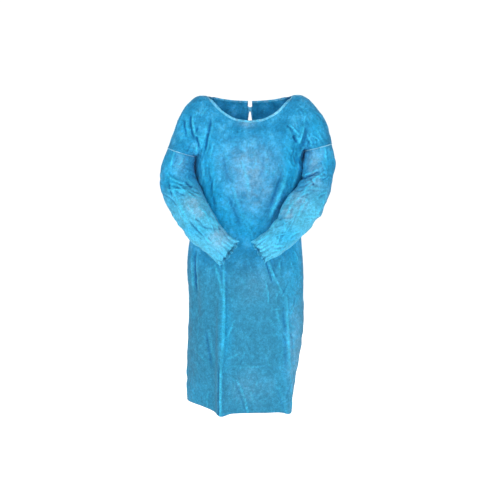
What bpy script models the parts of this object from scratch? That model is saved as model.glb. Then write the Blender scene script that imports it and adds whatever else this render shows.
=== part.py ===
"""Worn isolation gown of spunbond cloth: a front, two backs open behind, and dropped sleeves.

The gown keeps the hollow form it has on a standing wearer whose hands meet in front.
Sizes are in millimetres until a mesh is made. Z is up, the front faces -Y and the
wearer's left is +X. The origin lies between the shoulders, where the gown hangs.
"""

import bpy
import numpy as np

MILLIMETRE = 0.001

# Cloth walls, and how far each panel's edge stays back from its seam
WALL = 1.2
CUFF_WALL = 1.8
BINDING_WALL = 2.0
TIE_WALL = 1.2
SEAM_HALF = 0.16
SEAM_AT_SIDE = 0.35
SEAM_AT_TOP = 0.4
SEAM_AT_SLEEVE = 0.7

# Where a wall lies on its surface: -1 all inside, 0 half inside and half outside
INSIDE = -1.0
CUFF_OFFSET = -0.7
BINDING_OFFSET = -0.6
MIDDLE = 0.0

# Mesh density of the panels and of the curves they are read from
HALF_COLUMNS = 20
BACK_COLUMNS = 14
BODY_ROWS = 16
YOKE_ROWS = 12
SLEEVE_ROWS = 16
TIE_STEP = 26.0
CURVE_SAMPLES = 240

# Rings of the body from the armpits down, as seen from above. right and left are the side
# seams' x, front and back the depths, side the seams' y, rise how much the ring climbs from
# right to left, and the last two how square each front corner is.
BODY_COLUMNS = ("height", "right", "left", "front", "back", "side", "rise", "square_r", "square_l")
ARMPIT_HEIGHT = -203
HEM_HEIGHT = -1078
BODY_RINGS = (
    (ARMPIT_HEIGHT, -190, 189, -133, 124, 14, 20, 2.15, 2.15),
    (-214, -190, 188, -134, 125, 19, 19, 2.15, 2.15),
    (-232, -194, 189, -136, 126, 28, 16, 2.1, 2.1),
    (-262, -197, 192, -138, 126, 36, 10, 2.05, 2.05),
    (-300, -194, 190, -138, 124, 38, 4, 2.0, 2.0),
    (-340, -190, 185, -135, 122, 36, 0, 2.0, 2.0),
    (-420, -191, 177, -126, 120, 30, 0, 2.1, 2.1),
    (-500, -210, 179, -122, 124, 16, 0, 2.3, 2.4),
    (-600, -220, 186, -126, 134, 12, 0, 2.2, 2.6),
    (-700, -215, 187, -133, 140, 16, 0, 2.1, 2.8),
    (-800, -217, 188, -139, 144, 20, 0, 2.0, 3.0),
    (-900, -222, 177, -143, 148, 25, 0, 1.8, 3.4),
    (-1000, -225, 157, -147, 152, 31, -2, 1.6, 4.0),
    (HEM_HEIGHT, -226, 141, -150, 155, 36, -10, 1.5, 4.6),
)
BACK_SQUARE = 2.3

# Heights of the rows that lie close under the arm
UNDER_ARM = (-254, -228, -214)

# Shoulder ridge from the neck out to the armhole's top: x from the middle, y and height
RIGHT_RIDGE = (
    (149, 0, -6),
    (170, 0, -5),
    (199, 0, -18),
    (224, 0, -45),
    (248, 0, -88),
    (269, -2, -144),
    (283, -4, -183),
)
LEFT_RIDGE = (
    (149, 0, -4),
    (171, 0, -4),
    (203, 0, -18),
    (228, 0, -46),
    (259, 0, -88),
    (276, -2, -136),
    (282, -4, -168),
)

# Neckline seam from centre front or back up to each shoulder: x from the middle, y and height.
# The seam takes this share of a panel's columns.
NECK_FRONT = ((0, -94, -92), (46, -92, -87), (92, -80, -62), (128, -50, -27), (149, 0, -5))
NECK_BACK = ((0, 78, -26), (50, 74, -24), (100, 55, -18), (132, 28, -10), (149, 0, -5))
NECK_SHARE = 0.42

# Binding of the neck: its width, and the point that it leans towards
BINDING_WIDTH = 6.0
NECK_FOCUS = (0, -8, 70)

# How the yoke's columns bend: upright at the chest, leaning at the neck, level at the ridge,
# and drawn to the armhole near the arm. NECK_TURN is the share of the columns between the
# lean of the neck and the level ridge.
CHEST_RISE = 0.7
CHEST_LEAN = 0.1
NECK_LEAN = 0.2
NECK_TURN = 0.16
RIDGE_ROUND = 0.9
ARM_PULL = 4.0

# Width of the opening down the centre back at a height
BACK_GAP = ((-30, 14), (-200, 26), (-430, 16), (-700, 34), (HEM_HEIGHT, 60))

# Rings of each sleeve from the armhole to the wrist: x, y and height of the centre, half
# width across in the front view, half depth
RIGHT_SLEEVE = (
    (-236, -6, -198, 49, 82),
    (-249, -20, -246, 56, 70),
    (-248, -40, -292, 62, 62),
    (-231, -72, -340, 65, 58),
    (-194, -120, -400, 62, 56),
    (-155, -166, -453, 56, 49),
    (-112, -190, -494, 47, 42),
    (-69, -205, -528, 49, 33),
)
LEFT_SLEEVE = (
    (235, -6, -180, 49, 82),
    (241, -20, -236, 54, 70),
    (234, -40, -286, 51, 64),
    (217, -74, -334, 53, 60),
    (179, -122, -390, 56, 56),
    (128, -170, -449, 50, 48),
    (78, -194, -492, 45, 41),
    (30, -207, -524, 40, 33),
)
# Shares of a sleeve's length: over which a ring's heading is read, and over which it turns
# from the armhole's heading to the sleeve's own
HEADING_SPAN = 0.04
ARMHOLE_SPAN = 0.12

# Elastic hem at each wrist, and how far its gathers reach up the sleeve
CUFF_LENGTH = 11.0
CUFF_GATHERS = 12
GATHER_DEPTH = 1.8
GATHER_REACH = 70.0

# Large folds of the front, as lines in the front view: x and height at the top and at the
# bottom, half width, and height of the ridge, less than zero for a trough
FRONT_FOLDS = (
    ("ridge under the right hand", -96, -600, -98, -1085, 17, 24),
    ("trough beside it", -132, -620, -132, -1085, 22, -8),
    ("side trough", -194, -560, -190, -760, 16, -10),
    ("left front corner", 126, -760, 130, -1085, 14, 8),
    ("trough inside the corner", 92, -720, 84, -1085, 26, -8),
    ("right shoulder drag", -138, -75, -168, -225, 18, -7),
    ("left shoulder drag", 150, -100, 165, -225, 18, -7),
    ("right chest trough", -82, -340, -34, -480, 24, -9),
    ("left chest ridge", 128, -300, 58, -440, 13, 7),
)

# Soft folds of the backs, in the same columns
BACK_FOLDS = (
    ("right back fold", -118, -300, -124, -1085, 26, 12),
    ("left back fold", 104, -320, 96, -1085, 26, 12),
    ("right blade", -96, -120, -108, -300, 30, 7),
    ("left blade", 96, -120, 108, -300, 30, 7),
    ("right waist trough", -70, -440, -74, -700, 22, -8),
    ("left waist trough", 66, -440, 58, -700, 22, -8),
)
FOLD_STARTS_OVER = 0.35
FOLD_ENDS_OVER = 0.12

# Ties, welded on the backs: half width, and the route behind the back as x towards the
# tie's own side and height. Each passes the middle and hangs on the other side. Its middle
# lies off the cloth by the first value at the weld and by one of the others past the middle.
WAIST_TIE_HALF = 11.0
WAIST_TIE_ROUTE = ((84, -430), (50, -430), (14, -431), (-8, -437), (-18, -456), (-24, -500), (-34, -740))
NECK_TIE_HALF = 5.0
NECK_TIE_ROUTE = ((40, -42), (22, -43), (5, -46), (-6, -56), (-10, -76), (-18, -240))
TIE_AT_WELD = 1.0
TIE_ON_CLOTH = 2.0
TIE_OVER_TIE = 4.9
TIE_CROSSING = 12.0
EDGE_COLUMNS = 3

# Colours as linear base colour and roughness
BODY_BLUE = (0.045, 0.30, 0.60)
SLEEVE_BLUE = (0.10, 0.46, 0.72)
EDGE_BLUE = (0.20, 0.62, 0.88)
CLOTH_ROUGHNESS = 0.85


def through(stations, values, at):
    """Smooth curve through values given at stations, read at the places asked for."""
    stations = np.asarray(stations, float)
    values = np.asarray(values, float)
    at = np.clip(np.asarray(at, float), stations[0], stations[-1])
    slopes = np.gradient(values, stations, axis=0)
    low = np.clip(np.searchsorted(stations, at, side="right") - 1, 0, len(stations) - 2)
    span = stations[low + 1] - stations[low]
    t = (at - stations[low]) / span
    if values.ndim > 1:
        t = t[..., None]
        span = span[..., None]
    start = (2 * t**3 - 3 * t**2 + 1) * values[low] + (t**3 - 2 * t**2 + t) * span * slopes[low]
    return start + (3 * t**2 - 2 * t**3) * values[low + 1] + (t**3 - t**2) * span * slopes[low + 1]


def lengths_along(points):
    """Distance along a line of points, from its first one."""
    steps = np.linalg.norm(np.diff(points, axis=0), axis=1)
    return np.concatenate([[0.0], np.cumsum(steps)])


def evenly(points, count):
    """The line redrawn with count + 1 points at even distances."""
    along = lengths_along(points)
    places = np.linspace(0.0, along[-1], count + 1)
    return np.stack([np.interp(places, along, points[:, axis]) for axis in range(3)], axis=1)


def smooth_line(corners, count):
    """A smooth line through a few corners, with even points."""
    corners = np.asarray(corners, float)
    along = lengths_along(corners)
    return evenly(through(along, corners, np.linspace(0.0, along[-1], CURVE_SAMPLES)), count)


def ring_value(column, height):
    """A named column of the body's rings, at a height."""
    index = BODY_COLUMNS.index(column)
    rows = BODY_RINGS[::-1]
    return float(through([row[0] for row in rows], [row[index] for row in rows], height))


def body_quarter(height, side, depth_column, columns):
    """A quarter of the body's ring, from its middle (front or back) to a side seam.

    side is -1 for the wearer's right and 1 for the left; depth_column is front or back.
    """
    right = ring_value("right", height)
    left = ring_value("left", height)
    middle = (right + left) / 2
    reach = (left - right) / 2
    seam_y = ring_value("side", height)
    depth = ring_value(depth_column, height) - seam_y
    square = ring_value("square_l" if side > 0 else "square_r", height)
    if depth_column == "back":
        square = BACK_SQUARE
    turn = np.linspace(0.0, np.pi / 2, CURVE_SAMPLES)
    x = middle + side * reach * np.sin(turn) ** (2 / square)
    y = seam_y + depth * np.cos(turn) ** (2 / square)
    z = height + ring_value("rise", height) * (x - middle) / (2 * reach)
    return evenly(np.stack([x, y, z], axis=1), columns)


def sleeve_rows(side):
    """The table of one sleeve."""
    return LEFT_SLEEVE if side > 0 else RIGHT_SLEEVE


def sleeve_length(side):
    """Length of a sleeve's centre line."""
    return lengths_along(np.asarray(sleeve_rows(side), float)[:, :3])[-1]


def ring_frame(heading):
    """Directions across and through a sleeve's ring, from the way the sleeve runs."""
    across = np.cross([0.0, 1.0, 0.0], heading)
    across /= np.linalg.norm(across)
    through_ring = np.cross(heading, across)
    return across, through_ring / np.linalg.norm(through_ring)


def sleeve_ring(side, share, turns):
    """Points of a sleeve's ring at a share of its length.

    A turn of 0 is the seam under the arm, a quarter the front, a half the top.
    """
    rows = np.asarray(sleeve_rows(side), float)
    along = lengths_along(rows[:, :3])
    along /= along[-1]
    centre = through(along, rows[:, :3], share)
    ahead = through(along, rows[:, :3], min(share + HEADING_SPAN, 1.0))
    behind = through(along, rows[:, :3], max(share - HEADING_SPAN, 0.0))
    heading = (ahead - behind) / np.linalg.norm(ahead - behind)
    armhole = armhole_heading(side)
    blend = np.clip(share / ARMHOLE_SPAN, 0.0, 1.0)
    heading = armhole * (1 - blend) + heading * blend
    across, deep = ring_frame(heading / np.linalg.norm(heading))
    half_across = through(along, rows[:, 3], share)
    half_deep = through(along, rows[:, 4], share)
    angle = np.asarray(turns) * 2 * np.pi
    inward = -np.sign(across[0]) * side
    over = inward * half_across * np.cos(angle)
    front = np.sign(-deep[1]) * half_deep * np.sin(angle)
    return centre + over[:, None] * across + front[:, None] * deep


def armhole_heading(side):
    """The way a sleeve leaves its armhole: square to the seam, seen from the front."""
    ridge = LEFT_RIDGE if side > 0 else RIGHT_RIDGE
    top = np.array([side * ridge[-1][0], 0.0, ridge[-1][2]])
    pit_x = ring_value("left" if side > 0 else "right", ARMPIT_HEIGHT)
    pit = np.array([pit_x, 0.0, ARMPIT_HEIGHT + side * ring_value("rise", ARMPIT_HEIGHT) / 2])
    line = (top - pit) / np.linalg.norm(top - pit)
    down = np.cross(line, [0.0, 1.0, 0.0])
    return down * np.sign(-down[2])


def armhole_half(side, front):
    """Half of the armhole seam, from the armpit over the front or the back to the ridge."""
    quarter = np.linspace(0.0, 0.5, YOKE_ROWS + 1)
    line = sleeve_ring(side, 0.0, quarter if front else 1.0 - quarter)
    pit = body_quarter(ARMPIT_HEIGHT, side, "front", 1)[-1]
    ridge = LEFT_RIDGE if side > 0 else RIGHT_RIDGE
    top = np.array([side * ridge[-1][0], ridge[-1][1], ridge[-1][2]])
    share = np.linspace(0.0, 1.0, YOKE_ROWS + 1)[:, None]
    return line + (pit - line[0]) * (1 - share) ** 2 + (top - line[-1]) * share**2


def top_edge(side, front, columns):
    """The neckline's seam and then the shoulder ridge, from the middle to the armhole."""
    neck = np.asarray(NECK_FRONT if front else NECK_BACK, float) * (side, 1, 1)
    ridge = np.asarray(LEFT_RIDGE if side > 0 else RIGHT_RIDGE, float) * (side, 1, 1)
    neck = neck + (ridge[0] - neck[-1]) * np.linspace(0, 1, len(neck))[:, None] ** 2
    neck_columns = int(round(NECK_SHARE * columns))
    first = smooth_line(neck, neck_columns)
    second = smooth_line(ridge, columns - neck_columns)
    return np.concatenate([first, second[1:]])


def yoke_half(side, front, columns):
    """The cloth over one side of the chest or the shoulder blade, up to neck and ridge.

    Each column leaves the chest upright and bends over to meet the ridge level, so the
    shoulder is round; near the arm the columns follow the armhole.
    """
    face = -1.0 if front else 1.0
    low = body_quarter(ARMPIT_HEIGHT, side, "front" if front else "back", columns)
    high = top_edge(side, front, columns)
    reach = np.linalg.norm(high - low, axis=1)[:, None]
    u = np.linspace(0.0, 1.0, columns + 1)
    over_ridge = np.clip((u - NECK_SHARE) / NECK_TURN + 1.0, 0.0, 1.0)
    over_ridge = (over_ridge**2 * (3 - 2 * over_ridge))[:, None]
    leave = np.array([0.0, -face * CHEST_LEAN, 1.0]) * reach * CHEST_RISE
    to_neck = (high - low) / reach + np.array([0.0, -face * NECK_LEAN, 0.0])
    to_ridge = np.array([0.0, -face, 0.0])
    arrive = (to_neck * (1 - over_ridge) + to_ridge * over_ridge) * reach * RIDGE_ROUND
    rows = []
    for t in np.linspace(0.0, 1.0, YOKE_ROWS + 1):
        row = (2 * t**3 - 3 * t**2 + 1) * low + (t**3 - 2 * t**2 + t) * leave
        row = row + (3 * t**2 - 2 * t**3) * high + (t**3 - t**2) * arrive
        rows.append(row)
    grid = np.array(rows)
    arm = armhole_half(side, front)
    weight = (u**ARM_PULL)[None, :, None]
    return grid + (arm - grid[:, -1])[:, None, :] * weight


def body_heights():
    """Heights of the panels' rows, from the hem up to the armpits, closer at the armpits."""
    skirt = np.linspace(HEM_HEIGHT, UNDER_ARM[0], BODY_ROWS - len(UNDER_ARM) + 1)
    return np.concatenate([skirt, UNDER_ARM[1:], [ARMPIT_HEIGHT]])


def half_panel(side, front, columns):
    """One side of a panel, hem to top, with columns running from the middle outwards."""
    depth = "front" if front else "back"
    skirt = [body_quarter(height, side, depth, columns) for height in body_heights()[:-1]]
    return np.concatenate([np.array(skirt), yoke_half(side, front, columns)])


def outward(grid, flip):
    """Unit normals of a grid of points."""
    rows = np.gradient(grid, axis=0)
    columns = np.gradient(grid, axis=1)
    normals = np.cross(columns, rows) * (-1.0 if flip else 1.0)
    return normals / np.maximum(np.linalg.norm(normals, axis=2, keepdims=True), 1e-9)


def folded(grid, folds, flip):
    """The grid with its folds pressed in, each a soft line in the front view."""
    normals = outward(grid, flip)
    shift = np.zeros(grid.shape[:2])
    for _, x_top, z_top, x_low, z_low, width, height in folds:
        share = (z_top - grid[..., 2]) / (z_top - z_low)
        middle = x_top + (x_low - x_top) * np.clip(share, 0.0, 1.0)
        fade = np.clip(share / FOLD_STARTS_OVER, 0.0, 1.0)
        if z_low > HEM_HEIGHT:
            fade = fade * np.clip((1.0 - share) / FOLD_ENDS_OVER + 1.0, 0.0, 1.0)
        shift += height * fade * np.exp(-(((grid[..., 0] - middle) / width) ** 2))
    edge = np.ones(grid.shape[1])
    edge[[0, -1]] = 0.0
    return grid + normals * (shift * edge)[..., None]


def pulled_in(grid, rows=(0.0, 0.0), columns=(0.0, 0.0)):
    """The grid with its edges drawn back along the cloth, to leave room at the seams."""
    grid = grid.copy()
    for axis, (first, last) in ((0, rows), (1, columns)):
        turned = np.swapaxes(grid, 0, axis)
        for edge, inner, gap in ((0, 1, first), (-1, -2, last)):
            step = turned[inner] - turned[edge]
            step /= np.linalg.norm(step, axis=1)[:, None]
            turned[edge] = turned[edge] + step * gap
    return grid


def front_grid():
    """The whole front, columns from the wearer's right to the left."""
    right = half_panel(-1, True, HALF_COLUMNS)[:, ::-1]
    left = half_panel(1, True, HALF_COLUMNS)
    grid = np.concatenate([right, left[:, 1:]], axis=1)
    return folded(grid, FRONT_FOLDS, False)


def back_grid():
    """Both backs as one sheet, columns from the wearer's right to the left."""
    right = half_panel(-1, False, BACK_COLUMNS)[:, ::-1]
    left = half_panel(1, False, BACK_COLUMNS)
    grid = np.concatenate([right, left[:, 1:]], axis=1)
    return folded(grid, BACK_FOLDS, True)


def back_half(side):
    """One back, drawn away from the centre so that the gown is open behind."""
    grid = back_grid()
    middle = BACK_COLUMNS
    half = grid[:, middle:] if side > 0 else grid[:, : middle + 1][:, ::-1]
    half = half.copy()
    along = np.array([lengths_along(row) for row in half])
    heights = half[:, 0, 2]
    table = BACK_GAP[::-1]
    gaps = through([row[0] for row in table], [row[1] for row in table], heights) / 2
    for index, row in enumerate(half):
        places = np.linspace(gaps[index], along[index, -1], len(row))
        for axis in range(3):
            half[index, :, axis] = np.interp(places, along[index], row[:, axis])
    return half


def mesh_object(name, points, faces, material, collection):
    """A mesh object from points in millimetres."""
    mesh = bpy.data.meshes.new(name)
    mesh.from_pydata([tuple(point) for point in np.asarray(points) * MILLIMETRE], [], faces)
    mesh.update()
    mesh.materials.append(material)
    shape = bpy.data.objects.new(name, mesh)
    collection.objects.link(shape)
    for polygon in mesh.polygons:
        polygon.use_smooth = True
    return shape


def sheet_object(name, grid, material, collection, wall=WALL, offset=INSIDE, closed=False, flip=False):
    """A sheet through a grid of points, thickened to a wall on its inner side."""
    rows, columns = grid.shape[:2]
    faces = []
    wrap = columns if closed else columns - 1
    for row in range(rows - 1):
        for column in range(wrap):
            after = (column + 1) % columns
            face = (
                row * columns + column,
                row * columns + after,
                (row + 1) * columns + after,
                (row + 1) * columns + column,
            )
            faces.append(face[::-1] if flip else face)
    shape = mesh_object(name, grid.reshape(-1, 3), faces, material, collection)
    solid = shape.modifiers.new("Wall", "SOLIDIFY")
    solid.thickness = wall * MILLIMETRE
    solid.offset = offset
    solid.use_quality_normals = True
    return shape


def cloth(name, colour):
    """A matt material for spunbond cloth."""
    material = bpy.data.materials.new(name)
    material.use_nodes = True
    shader = material.node_tree.nodes["Principled BSDF"]
    shader.inputs["Base Color"].default_value = (*colour, 1.0)
    shader.inputs["Roughness"].default_value = CLOTH_ROUGHNESS
    shader.inputs["Metallic"].default_value = 0.0
    return material


def build_front(collection):
    """Front panel from hem to shoulders."""
    grid = front_grid()
    grid = pulled_in(grid, rows=(0.0, SEAM_AT_TOP), columns=(SEAM_AT_SIDE, SEAM_AT_SIDE))
    sheet_object("front_panel", grid, cloth("front cloth", BODY_BLUE), collection)


def build_back(side, collection):
    """One back panel, from its side seam to the open centre back."""
    grid = back_half(side)
    grid = pulled_in(grid, rows=(0.0, SEAM_AT_TOP), columns=(0.0, SEAM_AT_SIDE))
    name = "back_left_panel" if side > 0 else "back_right_panel"
    sheet_object(name, grid, cloth(name + " cloth", BODY_BLUE), collection, flip=side > 0)


def gathered_ring(side, share):
    """A sleeve's ring with the gathers that the wrist elastic draws in."""
    turns = np.arange(2 * YOKE_ROWS) / (2 * YOKE_ROWS)
    near = np.clip(1.0 - (1.0 - share) * sleeve_length(side) / GATHER_REACH, 0.0, 1.0)
    wave = np.cos(turns * 2 * np.pi * CUFF_GATHERS) * GATHER_DEPTH * near**1.5
    ring = sleeve_ring(side, share, turns)
    out = ring - ring.mean(axis=0)
    out /= np.linalg.norm(out, axis=1)[:, None]
    return ring + out * wave[:, None]


def sleeve_grid(side):
    """Rings from the armhole to the cuff's seam, the first one on the armhole itself."""
    last = 1.0 - CUFF_LENGTH / sleeve_length(side)
    shares = np.linspace(0.0, last, SLEEVE_ROWS + 1)
    grid = np.array([gathered_ring(side, share) for share in shares])
    front = armhole_half(side, True)
    back = armhole_half(side, False)
    grid[0] = np.concatenate([front, back[-2:0:-1]])
    return grid


def build_sleeve(side, collection):
    """A sleeve and the narrow elastic hem at its wrist."""
    grid = sleeve_grid(side)
    grid = pulled_in(grid, rows=(SEAM_AT_SLEEVE, SEAM_HALF))
    name = "sleeve_left" if side > 0 else "sleeve_right"
    flip = side > 0
    sheet_object(name, grid, cloth(name + " cloth", SLEEVE_BLUE), collection, closed=True, flip=flip)
    shares = np.linspace(1.0 - CUFF_LENGTH / sleeve_length(side), 1.0, 3)
    band = np.array([gathered_ring(side, share) for share in shares])
    band = pulled_in(band, rows=(SEAM_HALF, 0.0))
    name = "cuff_left" if side > 0 else "cuff_right"
    hem = cloth(name + " cloth", EDGE_BLUE)
    sheet_object(name, band, hem, collection, CUFF_WALL, CUFF_OFFSET, closed=True, flip=flip)


def neck_seam():
    """The neckline's seam and its surface normals, from the right back edge to the left."""
    count = int(round(NECK_SHARE * HALF_COLUMNS))
    back_count = int(round(NECK_SHARE * BACK_COLUMNS))
    grid = front_grid()
    span = slice(HALF_COLUMNS - count, HALF_COLUMNS + count + 1)
    front = (grid[-1, span], outward(grid, False)[-1, span])
    backs = []
    for side in (-1, 1):
        half = back_half(side)
        normals = outward(half, side > 0)[-1]
        backs.append((half[-1, : back_count + 1], normals[: back_count + 1]))
    seam = np.concatenate([backs[0][0][:-1], front[0], backs[1][0][::-1][1:]])
    normals = np.concatenate([backs[0][1][:-1], front[1], backs[1][1][::-1][1:]])
    for shoulder in (back_count, back_count + 2 * count):
        normals[shoulder] = (0.0, 0.0, 1.0)
    return seam, normals


def build_binding(collection):
    """Folded tape that finishes the neck edge, in the plane of the cloth that it meets."""
    seam, normals = neck_seam()
    toward = np.asarray(NECK_FOCUS, float) - seam
    toward -= normals * np.sum(toward * normals, axis=1)[:, None]
    toward /= np.linalg.norm(toward, axis=1)[:, None]
    places = (SEAM_HALF, BINDING_WIDTH / 2, BINDING_WIDTH)
    grid = np.array([seam + toward * place for place in places])
    tape = cloth("binding tape", EDGE_BLUE)
    sheet_object("neck_binding", grid, tape, collection, BINDING_WALL, BINDING_OFFSET)


def back_depth(places, grid):
    """How far back the cloth of the backs lies at places given as x and height.

    The columns nearest the side seams are left out, because x turns back there.
    """
    rows = grid[:, EDGE_COLUMNS:-EDGE_COLUMNS]
    depths = []
    for x, height in places:
        at_x = [np.interp(x, row[:, 0], row[:, 1]) for row in rows]
        heights = [np.interp(x, row[:, 0], row[:, 2]) for row in rows]
        depths.append(np.interp(height, heights, at_x))
    return np.array(depths)


def build_tie(name, side, route, half_width, collection):
    """A flat tie on one back, passing the middle and hanging on the other side."""
    corners = np.array([(side * x, 0.0, height) for x, height in route])
    line = smooth_line(corners, int(lengths_along(corners)[-1] / TIE_STEP))
    heading = np.gradient(line, axis=0)
    heading /= np.linalg.norm(heading, axis=1)[:, None]
    spread = np.cross(heading, [0.0, 1.0, 0.0])
    grid = np.concatenate([back_half(-1)[:, ::-1], back_half(1)], axis=1)
    over = TIE_OVER_TIE if side > 0 else TIE_ON_CLOTH
    start = route[0][0]
    toward_middle = np.clip((start - side * line[:, 0]) / (start - TIE_CROSSING), 0.0, 1.0)
    lift = TIE_AT_WELD + (over - TIE_AT_WELD) * toward_middle
    strips = []
    for share in (-1.0, 0.0, 1.0):
        strip = line + spread * half_width * share
        strip[:, 1] = back_depth(strip[:, [0, 2]], grid) + lift
        strips.append(strip)
    tape = cloth(name + " tape", EDGE_BLUE)
    sheet_object(name, np.array(strips), tape, collection, TIE_WALL, MIDDLE, flip=side > 0)


def main():
    """Build the gown."""
    for old in list(bpy.data.objects):
        bpy.data.objects.remove(old, do_unlink=True)
    collection = bpy.data.collections.new("isolation gown")
    bpy.context.scene.collection.children.link(collection)
    build_front(collection)
    for side in (-1, 1):
        build_back(side, collection)
        build_sleeve(side, collection)
        word = "left" if side > 0 else "right"
        build_tie("waist_tie_" + word, side, WAIST_TIE_ROUTE, WAIST_TIE_HALF, collection)
        build_tie("neck_tie_" + word, side, NECK_TIE_ROUTE, NECK_TIE_HALF, collection)
    build_binding(collection)


main()
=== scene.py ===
"""Worn isolation gown of blue spunbond cloth, hollow, as it hangs with its sleeves meeting in front."""

import bpy
import numpy as np
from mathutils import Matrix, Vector


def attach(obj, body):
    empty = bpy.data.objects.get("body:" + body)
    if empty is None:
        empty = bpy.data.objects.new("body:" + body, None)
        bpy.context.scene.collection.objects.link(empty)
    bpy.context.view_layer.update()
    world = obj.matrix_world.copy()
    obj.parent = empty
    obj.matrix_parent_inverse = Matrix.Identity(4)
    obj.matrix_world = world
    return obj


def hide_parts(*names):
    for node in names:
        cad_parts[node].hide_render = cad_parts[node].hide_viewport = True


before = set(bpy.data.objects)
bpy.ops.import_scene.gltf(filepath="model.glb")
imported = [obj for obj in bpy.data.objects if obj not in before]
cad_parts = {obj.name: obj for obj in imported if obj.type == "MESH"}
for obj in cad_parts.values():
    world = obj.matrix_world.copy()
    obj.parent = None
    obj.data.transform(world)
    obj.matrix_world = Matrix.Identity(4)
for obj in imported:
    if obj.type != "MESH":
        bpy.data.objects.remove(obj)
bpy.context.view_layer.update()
scene = bpy.context.scene


# Camera. It stands 4.2 m away at the height of the shoulders and looks a little down, so the
# gown fills the view from the neck to the hem.
CAMERA_PLACE = Vector((0.0, -4.2, -0.05))
CAMERA_AIM = Vector((0.0, 0.0, -0.539))
CAMERA_LENS = 87.0

camera = bpy.data.objects.new("camera", bpy.data.cameras.new("camera"))
camera.data.lens = CAMERA_LENS
camera.location = CAMERA_PLACE
camera.rotation_euler = (CAMERA_AIM - CAMERA_PLACE).to_track_quat("-Z", "Y").to_euler()
scene.collection.objects.link(camera)
scene.camera = camera


# Studio. A plain pale floor far below the hem and a white room all round. Large soft lights
# stand in front on both sides and beside the camera, and one stands behind the gown.
FLOOR_HEIGHT = -1.372
FLOOR_HALF = 9.0
FLOOR_CORNERS = ((-1, -1), (1, -1), (1, 1), (-1, 1))
FLOOR_TONE = (0.94, 0.94, 0.94, 1.0)
FLOOR_ROUGH = 0.9
FLOOR_GLOW = 0.5
WHITE = (1.0, 1.0, 1.0, 1.0)
ROOM_LIGHT = 0.62
ROOM_SHOWN = 1.08

# Each light: its name, place, width and power
SOFT_LIGHTS = (
    ("key light", (-2.2, -3.2, 1.6), 1.5, 73.0),
    ("fill light", (2.0, -3.4, 0.1), 2.2, 40.0),
    ("front light", (0.25, -4.0, -0.25), 1.0, 32.0),
    ("back light", (0.4, 2.6, 1.0), 2.0, 34.0),
)


def soft_light(name, place, size, power):
    """A square soft box that faces the middle of the gown."""
    lamp = bpy.data.lights.new(name, "AREA")
    lamp.size = size
    lamp.energy = power
    shape = bpy.data.objects.new(name, lamp)
    shape.location = place
    shape.rotation_euler = (CAMERA_AIM - Vector(place)).to_track_quat("-Z", "Y").to_euler()
    scene.collection.objects.link(shape)


for light in SOFT_LIGHTS:
    soft_light(*light)

room = bpy.data.worlds.new("white room")
room.use_nodes = True
room_nodes = room.node_tree.nodes
room_links = room.node_tree.links
room_light = room_nodes["Background"]
room_shown = room_nodes.new("ShaderNodeBackground")
room_rays = room_nodes.new("ShaderNodeLightPath")
room_switch = room_nodes.new("ShaderNodeMixShader")
room_links.new(room_rays.outputs["Is Camera Ray"], room_switch.inputs[0])
for input_place, shade, strength in ((1, room_light, ROOM_LIGHT), (2, room_shown, ROOM_SHOWN)):
    shade.inputs["Color"].default_value = WHITE
    shade.inputs["Strength"].default_value = strength
    room_links.new(shade.outputs[0], room_switch.inputs[input_place])
room_links.new(room_switch.outputs[0], room_nodes["World Output"].inputs[0])
scene.world = room
scene.view_settings.view_transform = "Standard"

floor_points = [(x * FLOOR_HALF, y * FLOOR_HALF, FLOOR_HEIGHT) for x, y in FLOOR_CORNERS]
floor_mesh = bpy.data.meshes.new("floor")
floor_mesh.from_pydata(floor_points, [], [(0, 1, 2, 3)])
floor = bpy.data.objects.new("floor", floor_mesh)
floor_paint = bpy.data.materials.new("pale floor")
floor_paint.use_nodes = True
floor_shader = floor_paint.node_tree.nodes["Principled BSDF"]
floor_shader.inputs["Base Color"].default_value = FLOOR_TONE
floor_shader.inputs["Roughness"].default_value = FLOOR_ROUGH
floor_shader.inputs["Emission Color"].default_value = WHITE
floor_shader.inputs["Emission Strength"].default_value = FLOOR_GLOW
floor_mesh.materials.append(floor_paint)
scene.collection.objects.link(floor)


# Front panel. One piece of spunbond from hem to shoulder, cut wide so that it also makes the
# top of each upper arm. It hangs from the shoulders and is welded to the backs along the
# shoulders and the sides. All sizes are in millimetres until a mesh is made.
MILLIMETRE = 0.001
CLOTH_WALL = 0.5
SIDES = ((-1, "right"), (1, "left"))
HALF_COLUMNS = 76
BODY_ROWS = 170
YOKE_ROWS = 70
CURVE_SAMPLES = 600
TINY = 1e-9

# Rings of the body from the armpits down, seen from above: side seams' x, depths in front and
# behind, the side seams' y, how far the ring climbs from right to left, how square it is
BODY_COLUMNS = ("height", "right", "left", "front", "back", "side", "rise", "square_r", "square_l")
ARMPIT_HEIGHT = -203
HEM_HEIGHT = -1078
BODY_RINGS = (
    (ARMPIT_HEIGHT, -190, 189, -133, 124, 14, 20, 2.15, 2.15),
    (-214, -190, 188, -134, 125, 19, 19, 2.15, 2.15),
    (-232, -194, 189, -136, 126, 28, 16, 2.1, 2.1),
    (-262, -197, 192, -138, 126, 36, 10, 2.05, 2.05),
    (-300, -194, 190, -138, 124, 38, 4, 2.0, 2.0),
    (-340, -190, 185, -135, 122, 36, 0, 2.0, 2.0),
    (-420, -191, 177, -126, 120, 30, 0, 2.1, 2.1),
    (-500, -210, 179, -122, 124, 16, 0, 2.3, 2.4),
    (-600, -220, 186, -126, 134, 12, 0, 2.2, 2.6),
    (-700, -215, 187, -133, 140, 16, 0, 2.1, 2.8),
    (-800, -217, 188, -139, 144, 20, 0, 2.0, 3.0),
    (-900, -222, 177, -143, 148, 25, 0, 1.8, 3.4),
    (-1000, -225, 157, -147, 152, 31, -2, 1.6, 4.0),
    (HEM_HEIGHT, -226, 141, -150, 155, 36, -10, 1.5, 4.6),
)
BACK_SQUARE = 2.3

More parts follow.
